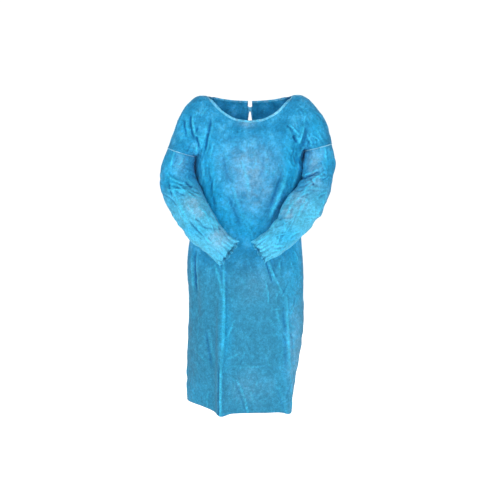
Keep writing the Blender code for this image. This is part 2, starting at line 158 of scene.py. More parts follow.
# Shoulder ridge from the neck to the armhole's top, and the neckline from centre front and
# centre back to the ridge: x from the middle, y and height
RIGHT_RIDGE = (
    (149, 0, -6),
    (170, 0, -5),
    (199, 0, -18),
    (224, 0, -45),
    (248, 0, -88),
    (269, -2, -144),
    (283, -4, -183),
)
LEFT_RIDGE = (
    (149, 0, -4),
    (171, 0, -4),
    (203, 0, -18),
    (228, 0, -46),
    (259, 0, -88),
    (276, -2, -136),
    (282, -4, -168),
)
NECK_FRONT = ((0, -94, -92), (46, -92, -87), (92, -80, -62), (128, -50, -27), (149, 0, -5))
NECK_BACK = ((0, 78, -26), (50, 74, -24), (100, 55, -18), (132, 28, -10), (149, 0, -5))
NECK_SHARE = 0.42
NECK_COLUMNS = int(round(NECK_SHARE * HALF_COLUMNS))

# How the cloth bends from the chest over the shoulder
CHEST_RISE = 0.7
CHEST_LEAN = 0.1
NECK_LEAN = 0.2
NECK_TURN = 0.16
RIDGE_ROUND = 0.9
ARM_PULL = 4.0

# Sleeve rings from the armhole to the wrist, which the panels' armhole edges follow too: x, y
# and height of the centre, half width across in the front view, half depth
RIGHT_SLEEVE = (
    (-236, -6, -198, 49, 82),
    (-249, -20, -246, 56, 70),
    (-248, -40, -292, 62, 62),
    (-231, -72, -340, 65, 58),
    (-194, -120, -400, 62, 56),
    (-155, -166, -453, 56, 49),
    (-112, -190, -494, 47, 42),
    (-69, -205, -528, 49, 33),
)
LEFT_SLEEVE = (
    (235, -6, -180, 49, 82),
    (241, -20, -236, 54, 70),
    (234, -40, -286, 51, 64),
    (217, -74, -334, 53, 60),
    (179, -122, -390, 56, 56),
    (128, -170, -449, 50, 48),
    (78, -194, -492, 45, 41),
    (30, -207, -524, 40, 33),
)
HEADING_SPAN = 0.04
ARMHOLE_SPAN = 0.12

# The largest folds: x and height at the top and at the bottom, half width, height of the
# ridge, less than zero for a trough; then the share of its length that a fold comes and goes over
FRONT_FOLDS = (
    ("ridge below the right wrist", -96, -600, -98, -1085, 17, 24),
    ("trough beside it", -132, -620, -132, -1085, 22, -8),
    ("side trough", -194, -560, -190, -760, 16, -10),
    ("left front corner", 126, -760, 130, -1085, 14, 8),
    ("trough inside the corner", 92, -720, 84, -1085, 26, -8),
    ("right shoulder drag", -138, -75, -168, -225, 18, -7),
    ("left shoulder drag", 150, -100, 165, -225, 18, -7),
    ("right chest trough", -82, -340, -34, -480, 24, -9),
    ("left chest ridge", 128, -300, 58, -440, 13, 7),
)
FOLD_STARTS_OVER = 0.35
FOLD_ENDS_OVER = 0.12

# How far the hem hangs below a level cut, at places across it from the right to the left
FRONT_HEM = (
    (-235, 10), (-200, 5), (-150, 9), (-118, 18), (-96, 22), (-66, 12),
    (0, 6), (70, 5), (112, 8), (136, 16), (160, 12),
)
HEM_LETS_FROM = -880.0

# Creases: x and height at three places along each, half width, height of the ridge, and how
# much the cloth pales along it, partly the whitened web and partly painted highlight; below zero
# it darkens, which is painted shade in the crease
FRONT_CREASES = (
    ("right outer short", -228, -80, -223, -112, -216, -146, 6, -4.0, -1.0),
    ("right outer", -204, -59, -202, -108, -186, -163, 6, -5.5, -1.2),
    ("beside right outer", -195, -69, -190, -113, -175, -156, 5, 3.0, 0.5),
    ("right armpit deep", -186, -137, -179, -157, -173, -188, 7, -7.0, -1.3),
    ("right armpit pale", -169, -139, -182, -180, -184, -218, 6, 4.0, 0.6),
    ("right long", -132, -71, -142, -133, -166, -221, 6, -4.5, -0.9),
    ("beside right long", -146, -96, -154, -140, -172, -196, 7, 3.0, 0.4),
    ("left cross dark", 122, -102, 136, -112, 152, -128, 4, -3.5, -1.2),
    ("left cross pale", 130, -102, 150, -119, 170, -140, 4, 3.6, 1.2),
    ("left cross deep", 147, -136, 153, -149, 160, -168, 7, -7.5, -1.7),
    ("left drag pale", 186, -92, 176, -136, 163, -178, 5, 4.6, 1.0),
    ("left drag low pale", 188, -172, 176, -193, 158, -222, 5, 4.0, 0.7),
    ("left drag trough", 198, -104, 188, -150, 174, -194, 8, -4.0, -0.6),
    ("left shoulder soft", 185, -49, 186, -76, 184, -102, 7, 2.5, 0.3),
    ("left inner", 118, -99, 138, -133, 160, -180, 6, 2.0, 0.2),
    ("right side dark", -140, -225, -133, -320, -111, -414, 9, -4.0, -0.5),
    ("right side pale", -151, -200, -160, -250, -148, -316, 6, 3.0, 0.5),
    ("chest trough", -83, -330, -54, -395, -31, -464, 14, -5.0, -0.4),
    ("chest ridge", -61, -290, -47, -344, -30, -400, 6.5, 3.0, 0.21),
    ("left chest pale", 132, -250, 98, -346, 57, -430, 8, 4.0, 0.6),
    ("left chest dark", 116, -236, 82, -340, 44, -420, 9, -4.0, -0.5),
    ("waist pack crease", 36, -384, 68, -384, 100, -381, 2.5, 1.0, 0.42),
    ("centre dark", 40, -186, 44, -236, 24, -293, 9, -2.5, -0.3),
    ("centre pale", 7, -186, 20, -219, 3, -268, 5, 1.7, 0.18),
    ("centre right pale", -34, -213, -13, -270, 0, -354, 9, 2.5, 0.3),
    ("right breast dark", -94, -186, -84, -246, -61, -307, 9, -2.5, -0.3),
    ("left side pale", 165, -219, 158, -273, 134, -340, 8, 3.0, 0.7),
    ("skirt right dark", -189, -520, -190, -609, -184, -700, 5, -4.0, -0.8),
    ("beside skirt right", -201, -530, -201, -610, -194, -690, 6, 2.5, 0.3),
    ("ridge below the wrist", -92, -520, -89, -729, -99, -944, 6, 4.0, 0.6),
    ("hem fold pale", -99, -890, -101, -1000, -101, -1106, 5, 4.5, 0.65),
    ("hem fold dark", -107, -902, -110, -1000, -111, -1106, 3, -6.0, -1.0),
    ("wrist fold dark", 51, -552, 63, -595, 81, -650, 2.9, -4.5, -0.83),
    ("wrist fold pale", 60, -548, 73, -592, 92, -648, 3.6, 2.5, 0.35),
    ("middle pale", 47, -612, 60, -667, 63, -722, 3.6, 2.2, 0.42),
    ("corner upper", 124, -640, 131, -816, 141, -955, 4.3, 3.8, 0.28),
    ("corner lower", 140, -940, 142, -1014, 142, -1106, 3.6, 3.8, 0.28),
    ("corner trough", 114, -700, 118, -816, 127, -1000, 10, -4.0, -0.3),
    ("hem diagonal", -58, -960, -26, -1004, -3, -1100, 2.9, 2.5, 0.44),
    ("hem diagonal dark", -68, -970, -36, -1012, -13, -1100, 4.3, -1.9, -0.18),
    ("side diagonal", -207, -872, -175, -895, -142, -922, 3.6, 1.9, 0.24),
    ("pack crease left", 60, -722, 99, -727, 131, -719, 2.5, 1.3, 0.42),
    ("pack crease right", -92, -750, -48, -746, 4, -750, 2.5, 0.9, 0.24),
    ("pack crease low", -80, -923, 0, -924, 106, -915, 2.5, 0.9, 0.20),
    ("left hip streak", 149, -530, 158, -551, 163, -576, 3.6, 2.5, 0.56),
    ("left hip wave", 61, -560, 94, -640, 131, -712, 5, 2.1, 0.28),
    ("fan", -89, -850, -72, -809, -46, -752, 4.3, 1.9, 0.24),
    ("right lower dark", -154, -790, -144, -868, -128, -950, 8, -3.0, -0.4),
    ("right hip pale", -128, -560, -104, -626, -95, -700, 7, 3.0, 0.5),
)

# A crease is drawn through a number of places along it. Its section, in half widths: how far it
# reaches, how sharp its ridge is, the pale crest (partly the whitened web, partly painted highlight)
# and the painted shade on one side of it, a darker band beside the crest. It fades out over a share
# of its length at each end.
CREASE_PLACES = 13
CREASE_ROOM = 4.0
CREASE_POWER = 1.25
CREST_SHARE = 0.6
SHADE_PLACE = 1.35
SHADE_SHARE = 0.6
SHADE_TONE = 0.45
CREASE_TAPER = 0.3

# Small creases strewn over areas: how many, the area's corners, their heading from upright and
# its scatter in radians, the longest one, height, paleness and seed; the paleness is partly whitened
# web and partly painted highlight on a ridge, and turns to painted shade in a trough; then how
# their lengths, bows, sides, heights and half widths vary
FRONT_STREWN = (
    ("right shoulder", 26, -245, -190, -150, -55, -0.25, 0.25, 30, 2.0, 0.45, 5),
    ("left shoulder", 26, 145, -190, 245, -50, 0.35, 0.3, 30, 2.0, 0.45, 6),
    ("right armpit", 22, -188, -330, -120, -180, -0.15, 0.25, 45, 2.2, 0.5, 7),
    ("left armpit", 22, 115, -330, 185, -180, 0.2, 0.25, 45, 2.2, 0.5, 8),
    ("chest", 40, -110, -330, 110, -110, 0.1, 0.5, 26, 1.0, 0.2, 9),
    ("waist", 30, -120, -540, 120, -330, 0.25, 0.5, 40, 1.4, 0.28, 10),
    ("skirt", 60, -190, -1060, 150, -560, 0.05, 0.5, 42, 1.3, 0.22, 11),
    ("skirt side", 18, 90, -1040, 160, -560, 0.1, 0.25, 60, 1.6, 0.4, 12),
    ("hem", 14, -190, -1070, 120, -1000, 0.1, 0.8, 20, 1.2, 0.25, 13),
)
STREWN_REACH = (0.25, 1.0)
STREWN_BOW = 0.15
STREWN_SIDES = (-1, 1, 1)
STREWN_SIZE = (0.35, 1.0)
STREWN_WIDTH = (2.6, 5.5)

# Crumple of the thin cloth: size of its facets, height and seed, from the large to the small.
# Facets run several ways at once, bend with broad waves and fade out in patches.
CRUMPLE = ((74, 1.7, 3), (36, 0.75, 11), (17, 0.22, 23))
CRUMPLE_WAYS = 6
CRUMPLE_SPREAD = (0.8, 1.7)
CRUMPLE_EVEN = 2.5
BEND_SWELL = 2.4
BEND_SHARE = 0.4
FADE_SWELL = 1.9
FADE_MIDDLE = 0.5
WAVE_COUNT = 5
WAVE_SPREAD = (0.6, 1.4)
SEAM_EASE = 14.0


def eased(share):
    """A share held between 0 and 1 that leaves and arrives softly."""
    share = np.clip(share, 0.0, 1.0)
    return share * share * (3 - 2 * share)


def unit(vectors):
    """The vectors at a length of one."""
    return vectors / np.maximum(np.linalg.norm(vectors, axis=-1, keepdims=True), TINY)


def bent_between(t, low, leave, high, arrive):
    """A bend from low to high, given the ways that it leaves and arrives."""
    start = (2 * t**3 - 3 * t**2 + 1) * low + (t**3 - 2 * t**2 + t) * leave
    return start + (3 * t**2 - 2 * t**3) * high + (t**3 - t**2) * arrive


def through(stations, values, at):
    """Smooth curve through values given at stations, read at the places asked for."""
    stations = np.asarray(stations, float)
    values = np.asarray(values, float)
    at = np.clip(np.asarray(at, float), stations[0], stations[-1])
    slopes = np.gradient(values, stations, axis=0)
    low = np.clip(np.searchsorted(stations, at, side="right") - 1, 0, len(stations) - 2)
    span = stations[low + 1] - stations[low]
    t = (at - stations[low]) / span
    if values.ndim > 1:
        t = t[..., None]
        span = span[..., None]
    return bent_between(t, values[low], span * slopes[low], values[low + 1], span * slopes[low + 1])


def read_table(table, at, column=1):
    """A smooth curve through one column of a table, set against its first column."""
    table = np.asarray(table, float)
    return through(table[:, 0], table[:, column], at)


def lengths_along(points):
    """Distance along a line of points, from its first one."""
    steps = np.linalg.norm(np.diff(points, axis=0), axis=1)
    return np.concatenate([[0.0], np.cumsum(steps)])


def row_lengths(grid):
    """Distances along each row of a grid, from its first point."""
    return np.array([lengths_along(row) for row in grid])


def at_places(points, places):
    """The points that lie at given distances along a line."""
    along = lengths_along(points)
    return np.stack([np.interp(places, along, points[:, axis]) for axis in range(3)], axis=1)


def evenly(points, count):
    """The line redrawn with count + 1 points at even distances."""
    return at_places(points, np.linspace(0.0, lengths_along(points)[-1], count + 1))


def smooth_line(corners, count):
    """A smooth line through a few corners, with even points."""
    corners = np.asarray(corners, float)
    along = lengths_along(corners)
    return evenly(through(along, corners, np.linspace(0.0, along[-1], CURVE_SAMPLES)), count)


def ring_value(column, height):
    """A named column of the body's rings, at a height."""
    return float(read_table(BODY_RINGS[::-1], height, BODY_COLUMNS.index(column)))


def body_quarter(height, side, depth_column, columns):
    """A quarter of the body's ring, from its middle (front or back) to a side seam."""
    right = ring_value("right", height)
    left = ring_value("left", height)
    middle = (right + left) / 2
    reach = (left - right) / 2
    seam_y = ring_value("side", height)
    depth = ring_value(depth_column, height) - seam_y
    square = ring_value("square_l" if side > 0 else "square_r", height)
    if depth_column == "back":
        square = BACK_SQUARE
    turn = np.linspace(0.0, np.pi / 2, CURVE_SAMPLES)
    x = middle + side * reach * np.sin(turn) ** (2 / square)
    y = seam_y + depth * np.cos(turn) ** (2 / square)
    z = height + ring_value("rise", height) * (x - middle) / (2 * reach)
    return evenly(np.stack([x, y, z], axis=1), columns)


def sleeve_rows(side):
    """The table of one sleeve."""
    return np.asarray(LEFT_SLEEVE if side > 0 else RIGHT_SLEEVE, float)


def ridge_of(side):
    """The shoulder ridge of one side."""
    return np.asarray(LEFT_RIDGE if side > 0 else RIGHT_RIDGE, float) * (side, 1, 1)


def armhole_heading(side):
    """The way a sleeve leaves its armhole: square to the seam, seen from the front."""
    top = ridge_of(side)[-1] * (1, 0, 1)
    pit_x = ring_value("left" if side > 0 else "right", ARMPIT_HEIGHT)
    pit = np.array([pit_x, 0.0, ARMPIT_HEIGHT + side * ring_value("rise", ARMPIT_HEIGHT) / 2])
    down = np.cross(unit(top - pit), [0.0, 1.0, 0.0])
    return down * np.sign(-down[2])


def sleeve_ring(side, share, turns):
    """Points of a sleeve's ring at a share of its length.

    A turn of 0 is the seam under the arm, a quarter the front, a half the top.
    """
    rows = sleeve_rows(side)
    along = lengths_along(rows[:, :3])
    along /= along[-1]
    ahead = through(along, rows[:, :3], min(share + HEADING_SPAN, 1.0))
    behind = through(along, rows[:, :3], max(share - HEADING_SPAN, 0.0))
    blend = np.clip(share / ARMHOLE_SPAN, 0.0, 1.0)
    heading = armhole_heading(side) * (1 - blend) + unit(ahead - behind) * blend
    across = unit(np.cross([0.0, 1.0, 0.0], heading))
    deep = unit(np.cross(heading, across))
    angle = np.asarray(turns) * 2 * np.pi
    over = -np.sign(across[0]) * side * through(along, rows[:, 3], share) * np.cos(angle)
    front = np.sign(-deep[1]) * through(along, rows[:, 4], share) * np.sin(angle)
    return through(along, rows[:, :3], share) + over[:, None] * across + front[:, None] * deep


def armhole_half(side, front):
    """Half of the armhole seam, from the armpit over the front or the back to the ridge."""
    quarter = np.linspace(0.0, 0.5, YOKE_ROWS + 1)
    line = sleeve_ring(side, 0.0, quarter if front else 1.0 - quarter)
    pit = body_quarter(ARMPIT_HEIGHT, side, "front", 1)[-1]
    share = np.linspace(0.0, 1.0, YOKE_ROWS + 1)[:, None]
    return line + (pit - line[0]) * (1 - share) ** 2 + (ridge_of(side)[-1] - line[-1]) * share**2


def yoke_half(side, front):
    """The cloth over one side of the chest or the shoulder blade, up to neck and ridge."""
    face = -1.0 if front else 1.0
    low = body_quarter(ARMPIT_HEIGHT, side, "front" if front else "back", HALF_COLUMNS)
    neck = np.asarray(NECK_FRONT if front else NECK_BACK, float) * (side, 1, 1)
    neck = neck + (ridge_of(side)[0] - neck[-1]) * np.linspace(0, 1, len(neck))[:, None] ** 2
    ridge = smooth_line(ridge_of(side), HALF_COLUMNS - NECK_COLUMNS)
    high = np.concatenate([smooth_line(neck, NECK_COLUMNS), ridge[1:]])
    reach = np.linalg.norm(high - low, axis=1)[:, None]
    u = np.linspace(0.0, 1.0, HALF_COLUMNS + 1)
    over_ridge = eased((u - NECK_SHARE) / NECK_TURN + 1.0)[:, None]
    leave = np.array([0.0, -face * CHEST_LEAN, 1.0]) * reach * CHEST_RISE
    to_neck = (high - low) / reach + np.array([0.0, -face * NECK_LEAN, 0.0])
    to_ridge = np.array([0.0, -face, 0.0])
    arrive = (to_neck * (1 - over_ridge) + to_ridge * over_ridge) * reach * RIDGE_ROUND
    t = np.linspace(0.0, 1.0, YOKE_ROWS + 1)[:, None, None]
    grid = bent_between(t, low, leave, high, arrive)
    weight = (u**ARM_PULL)[None, :, None]
    return grid + (armhole_half(side, front) - grid[:, -1])[:, None, :] * weight


def panel_grid(front):
    """A whole front or back, hem to top, columns from the right side to the left."""
    depth = "front" if front else "back"
    heights = np.linspace(HEM_HEIGHT, ARMPIT_HEIGHT, BODY_ROWS + 1)[:-1]
    halves = []
    for side in (-1, 1):
        skirt = [body_quarter(height, side, depth, HALF_COLUMNS) for height in heights]
        halves.append(np.concatenate([np.array(skirt), yoke_half(side, front)]))
    return np.concatenate([halves[0][:, ::-1], halves[1][:, 1:]], axis=1)


def outward(grid, flip, closed=False):
    """Unit normals of a grid of points; a closed grid's columns run all round."""
    rows = np.gradient(grid, axis=0)
    if closed:
        columns = (np.roll(grid, -1, axis=1) - np.roll(grid, 1, axis=1)) / 2
    else:
        columns = np.gradient(grid, axis=1)
    return unit(np.cross(columns, rows) * (-1.0 if flip else 1.0))


def folded(grid, folds, flip):
    """The grid with its largest folds pressed in, each a soft line in the front view."""
    shift = np.zeros(grid.shape[:2])
    for _, x_top, z_top, x_low, z_low, width, height in folds:
        share = (z_top - grid[..., 2]) / (z_top - z_low)
        middle = x_top + (x_low - x_top) * np.clip(share, 0.0, 1.0)
        fade = np.clip(share / FOLD_STARTS_OVER, 0.0, 1.0)
        if z_low > HEM_HEIGHT:
            fade = fade * np.clip((1.0 - share) / FOLD_ENDS_OVER + 1.0, 0.0, 1.0)
        shift += height * fade * np.exp(-(((grid[..., 0] - middle) / width) ** 2))
    shift[:, [0, -1]] = 0.0
    return grid + outward(grid, flip) * shift[..., None]


def soft_waves(points, size, random):
    """A smooth uneven field through space, about -1 to 1, with swells of one size."""
    field = np.zeros(points.shape[:-1])
    for _ in range(WAVE_COUNT):
        heading = random.normal(size=3)
        heading *= random.uniform(*WAVE_SPREAD) * 2 * np.pi / size / np.linalg.norm(heading)
        field += np.sin(points @ heading + random.uniform(0, 2 * np.pi))
    return field / (WAVE_COUNT / 2)


def crumpled(points, layers):
    """Height of small sharp creases through space; each layer is a size, a height and a seed."""
    total = np.zeros(points.shape[:-1])
    for size, height, seed in layers:
        random = np.random.default_rng(seed)
        for _ in range(CRUMPLE_WAYS):
            heading = random.normal(size=3)
            heading /= np.linalg.norm(heading) * size * random.uniform(*CRUMPLE_SPREAD)
            bend = soft_waves(points, size * BEND_SWELL, random) * BEND_SHARE
            turn = points @ heading + bend + random.uniform()
            zigzag = 1.0 - 4.0 * np.abs(turn % 1.0 - 0.5)
            fades = np.clip(FADE_MIDDLE + soft_waves(points, size * FADE_SWELL, random), 0.0, 1.0)
            total += height * zigzag * fades / CRUMPLE_EVEN
    return total


def strewn(areas):
    """Small creases strewn over areas of the cloth, each area's along one heading."""
    creases = []
    for name, count, x_low, z_low, x_high, z_high, heading, scatter, longest, ridge, tone, seed in areas:
        random = np.random.default_rng(seed)
        for _ in range(count):
            x = random.uniform(x_low, x_high)
            z = random.uniform(z_low, z_high)
            angle = heading + random.normal() * scatter
            reach = longest * random.uniform(*STREWN_REACH)
            run = np.array([np.sin(angle), -np.cos(angle)]) * reach
            bow = np.array([run[1], -run[0]]) * random.normal() * STREWN_BOW
            side = random.choice(STREWN_SIDES)
            size = random.uniform(*STREWN_SIZE)
            width = random.uniform(*STREWN_WIDTH)
            line = (x - run[0], z - run[1], x + bow[0], z + bow[1], x + run[0], z + run[1])
            creases.append((name, *line, width, side * ridge * size, side * tone * size))
    return creases


def creased(grid, creases, areas):
    """Height of the single and strewn creases at each point of a grid, and their whitening, painted highlight
    and shade.
    """
    height = np.zeros(grid.shape[:2])
    pale = np.zeros(grid.shape[:2])
    flat = grid[..., [0, 2]]
    t = np.linspace(0.0, 1.0, CREASE_PLACES)
    curve = np.stack([(1 - t) * (1 - 2 * t), 4 * t * (1 - t), t * (2 * t - 1)], axis=1)
    for _, x0, z0, x1, z1, x2, z2, width, ridge, tone in list(creases) + strewn(areas):
        line = curve @ [(x0, z0), (x1, z1), (x2, z2)]
        room = CREASE_ROOM * width
        near = np.all((flat > line.min(axis=0) - room) & (flat < line.max(axis=0) + room), axis=2)
        if not near.any():
            continue
        spots = flat[near]
        nearest = np.full(len(spots), np.inf)
        aside = np.zeros(len(spots))
        share = np.zeros(len(spots))
        for index, run in enumerate(np.diff(line, axis=0)):
            step = np.clip(((spots - line[index]) @ run) / (run @ run), 0.0, 1.0)
            gap = spots - line[index] - step[:, None] * run
            distance = np.linalg.norm(gap, axis=1)
            closer = distance < nearest
            nearest[closer] = distance[closer]
            aside[closer] = (distance * np.sign(run[0] * gap[:, 1] - run[1] * gap[:, 0]))[closer]
            share[closer] = (index + step[closer]) / (CREASE_PLACES - 1)
        taper = share / CREASE_TAPER
        if z2 > HEM_HEIGHT:
            taper = np.minimum(taper, (1.0 - share) / CREASE_TAPER)
        taper = eased(taper)
        height[near] += ridge * np.exp(-((nearest / width) ** CREASE_POWER)) * taper
        # Pale crest, partly whitened web and partly painted highlight; beside it on one side a band of
        # painted shade
        crest = np.exp(-((nearest / (CREST_SHARE * width)) ** 2))
        shaded_side = np.exp(-(((aside - SHADE_PLACE * width) / (SHADE_SHARE * width)) ** 2))
        pale[near] += tone * (crest - SHADE_TONE * shaded_side) * taper
    return height, pale


def spread(grid, closed=False):
    """Flat places on the cloth in metres, measured along its own rows and columns."""
    middle = 0 if closed else grid.shape[1] // 2
    across = row_lengths(grid)
    across -= across[:, middle : middle + 1]
    up = row_lengths(np.swapaxes(grid, 0, 1)).T
    return np.stack([across, up], axis=2) * MILLIMETRE


def seam_fade(grid, width=SEAM_EASE):
    """One inside a panel, falling to nothing at its side edges, so that the panels still meet."""
    across = row_lengths(grid)
    return np.clip(np.minimum(across, across[:, -1:] - across) / width, 0.0, 1.0)


def lowered(grid, drops):
    """The grid with its hem let down a little, by an amount given across its width."""
    share = np.clip((HEM_LETS_FROM - grid[..., 2]) / (HEM_LETS_FROM - HEM_HEIGHT), 0.0, 1.0)
    grid = grid.copy()
    grid[..., 2] -= read_table(drops, grid[..., 0]) * share**2
    return grid


def paint_layer(mesh, name, values):
    """Store three values at each point of a mesh, for the cloth's material."""
    layer = mesh.color_attributes.new(name, "FLOAT_COLOR", "POINT")
    colours = np.ones((len(mesh.vertices), 4), np.float32)
    colours[:, :3] = values
    layer.data.foreach_set("color", colours.ravel())


def cloth_sheet(name, grid, looks, material, flip=False, closed=False, wall=CLOTH_WALL, tints=None):
    """A thin closed shell of cloth on a grid of points, with its looks and tints at each point."""
    rows, columns = grid.shape[:2]
    index = np.arange(rows * columns).reshape(rows, columns)
    after = np.roll(index, -1, axis=1)
    if not closed:
        index = index[:, :-1]
        after = after[:, :-1]
    faces = np.stack([index[:-1], after[:-1], after[1:], index[1:]], axis=2).reshape(-1, 4)
    if flip:
        faces = faces[:, ::-1]
    mesh = bpy.data.meshes.new(name)
    mesh.from_pydata((grid.reshape(-1, 3) * MILLIMETRE).tolist(), [], faces.tolist())
    flat = spread(grid, closed).reshape(-1, 2)
    weave = mesh.uv_layers.new(name="cloth")
    corners = np.empty(len(mesh.loops), np.int32)
    mesh.loops.foreach_get("vertex_index", corners)
    weave.data.foreach_set("uv", flat[corners].astype(np.float32).ravel())
    paint_layer(mesh, "looks", looks.reshape(-1, 3))
    paint_layer(mesh, "tints", np.zeros((len(mesh.vertices), 3)) if tints is None else tints.reshape(-1, 3))
    mesh.materials.append(material)
    mesh.shade_smooth()
    piece = bpy.data.objects.new(name, mesh)
    scene.collection.objects.link(piece)
    shell = piece.modifiers.new("shell", "SOLIDIFY")
    shell.thickness = wall * MILLIMETRE
    shell.offset = -1.0
    return piece


# Soft patches of tint: milky ones, and bright ones that are painted light, lightening places where
# the cloth lies in shade; x and height of the middle, half width, half height, which tint and how
# strong; then how ragged their edges are, and where the grey of the skirt begins and blends in
TINTS = ("grey", "milky", "painted_light")
FRONT_TINTS = (
    ("chest", 0, -240, 78, 70, "milky", 0.75),
    ("under the chest", 10, -330, 60, 70, "milky", 0.45),
    ("under the neck", -8, -96, 30, 14, "milky", 0.9),
    ("right chest", -146, -250, 32, 90, "painted_light", 1.0),
    ("right waist", -90, -390, 40, 60, "painted_light", 0.7),
    ("beside the right forearm", -138, -335, 34, 80, "painted_light", 0.9),
    ("left chest", 135, -245, 26, 90, "painted_light", 0.8),
    ("below the waist", -10, -440, 80, 70, "painted_light", 0.8),
    ("right shoulder", -220, -110, 26, 60, "painted_light", 0.5),
    ("left shoulder", 228, -100, 26, 60, "painted_light", 0.6),
    ("left hip", 158, -620, 34, 150, "painted_light", 0.7),
    ("left hem", 140, -900, 34, 180, "painted_light", 0.5),
    ("right hem", -200, -1040, 40, 40, "painted_light", 0.3),
    ("beside the wrist fold", -84, -800, 20, 130, "painted_light", 0.7),
    ("left side under the arm", 158, -260, 36, 90, "painted_light", 1.0),
    ("skirt middle", 20, -640, 60, 60, "milky", 0.2),
    ("left hem edge", 156, -880, 26, 180, "milky", 0.6),
    ("hem middle", -10, -1000, 60, 50, "milky", 0.25),
)
TINT_RAGGED = 0.35
TINT_SWELL = 90.0
TINT_SEED = 17
SKIRT_TOP = -500.0
SKIRT_BLEND = 160.0

# Paleness of the side edges, where the two layers of the weld show, how far in it reaches and
# how far below the armpits it starts
EDGE_PALE = 0.9
EDGE_REACH = 9.0
EDGE_BELOW = 20.0

# How strongly a bend of the cloth is painted: a painted highlight on its ridges, painted shade in its hollows
BEND_SHADING = 2.5
BEND_SHADING_LIMIT = 0.3


def tinted(grid, patches):
    """Soft patches of tint on the cloth: how grey, how milky and how much painted light each point has."""
    tints = np.zeros(grid.shape)
    edge = 1.0 + TINT_RAGGED * soft_waves(grid, TINT_SWELL, np.random.default_rng(TINT_SEED))
    for _, x, z, wide, tall, tint, strength in patches:
        away = ((grid[..., 0] - x) / wide) ** 2 + ((grid[..., 2] - z) / tall) ** 2
        tints[..., TINTS.index(tint)] += strength * np.exp(-away * edge)
    return tints


def looks_of(grid, height, pale, forearm, closed=False):
    """What the material reads at each point: paleness of creases and ridges (whitened web and painted
    highlight), painted shade in creases and hollows, the forearm's tint.
    """
    step_up = np.linalg.norm(np.gradient(grid, axis=0), axis=2)
    step_over = np.linalg.norm(np.gradient(grid, axis=1), axis=2)
    if closed:
        around = (np.roll(height, 1, axis=1) + np.roll(height, -1, axis=1) - 2 * height) / step_over**2
    else:
        around = np.gradient(np.gradient(height, axis=1), axis=1) / step_over**2
    # Ridges are painted paler and hollows darker: painted highlight and painted shade
    bend = -(around + np.gradient(np.gradient(height, axis=0), axis=0) / step_up**2)
    tone = pale + np.clip(bend * BEND_SHADING, -BEND_SHADING_LIMIT, BEND_SHADING_LIMIT)
    return np.stack([np.clip(tone, 0, 1), np.clip(-tone, 0, 1), forearm], axis=2)


# Colours of the web where it is thick, middling and thin, and of the tints and looks laid over
# it, in order, each with the most that it covers; then the names of the three looks
BODY_DEEP = (0.010, 0.26, 0.52)
BODY_MIDDLE = (0.028, 0.34, 0.62)
BODY_PALE = (0.08, 0.46, 0.72)
# Of the tints and looks, the bright tint is painted light; crest is partly the whitened web and partly
# painted highlight; fold is painted shade in creases, troughs and hollows
TONES = (
    ("grey", 0.85, (0.034, 0.255, 0.415)),
    ("forearm", 0.8, (0.11, 0.57, 0.79)),
    ("painted_light", 0.8, (0.010, 0.42, 0.74)),
    ("milky", 0.9, (0.24, 0.50, 0.68)),
    ("crest", 0.8, (0.06, 0.64, 0.92)),
    ("fold", 0.85, (0.0, 0.10, 0.30)),
)
LOOKS = ("crest", "fold", "forearm")

# Webs of the nonwoven: scale, detail, roughness and swirl of each, with the sockets that take
# them and a mix's share and colours; then the spans of the clouds that make the cloth thinner,
# and how the blotches break up the milky tint
WEBS = {
    "clouds": (22.0, 5.0, 0.62, 0.0),
    "blotches": (48.0, 4.0, 0.65, 0.0),
    "dents": (70.0, 5.0, 0.65, 0.0),
    "crinkles": (80.0, 3.0, 0.6, 0.0),
    "clumps": (150.0, 4.0, 0.78, 0.8),
    "fibres": (620.0, 3.0, 0.75, 2.0),
}
WEB_SOCKETS = ("Scale", "Detail", "Roughness", "Distortion")
MIX_SOCKETS = (0, 6, 7)
CLOUD_SPAN = (0.36, 0.66)
MIDDLE_SPAN = (0.0, 0.75)
THIN_SPAN = (0.6, 1.0, 0.0, 0.5)
BLOTCH_SPAN = (0.35, 0.65, 0.35, 1.0)

# Bond points pressed into the cloth: how many to a metre, how uneven, and where a point's edge is
BONDS_PER_METRE = 640.0
BOND_UNEVEN = 0.12
BOND_EDGE = (0.16, 0.34)

# The span of each web that counts, how much it darkens and lightens the cloth; then how strongly
# and how deep some of them dent it
WEB_TONES = (
    ("clouds", 0.0, 1.0, 0.92, 1.07),
    ("crinkles", 0.35, 0.65, 0.88, 1.10),
    ("clumps", 0.3, 0.7, 0.68, 1.34),
    ("fibres", 0.3, 0.7, 0.82, 1.16),
    ("bonds", 0.0, 1.0, 0.80, 1.05),
)
WEB_DENTS = (("dents", 0.35, 0.0012), ("fibres", 0.2, 0.0003), ("bonds", 0.3, 0.0002))
CLOTH_ROUGH = 0.7
CLOTH_SHINE = 0.15
CLOTH_SHEEN = 0.05
LIGHT_THROUGH = 0.3


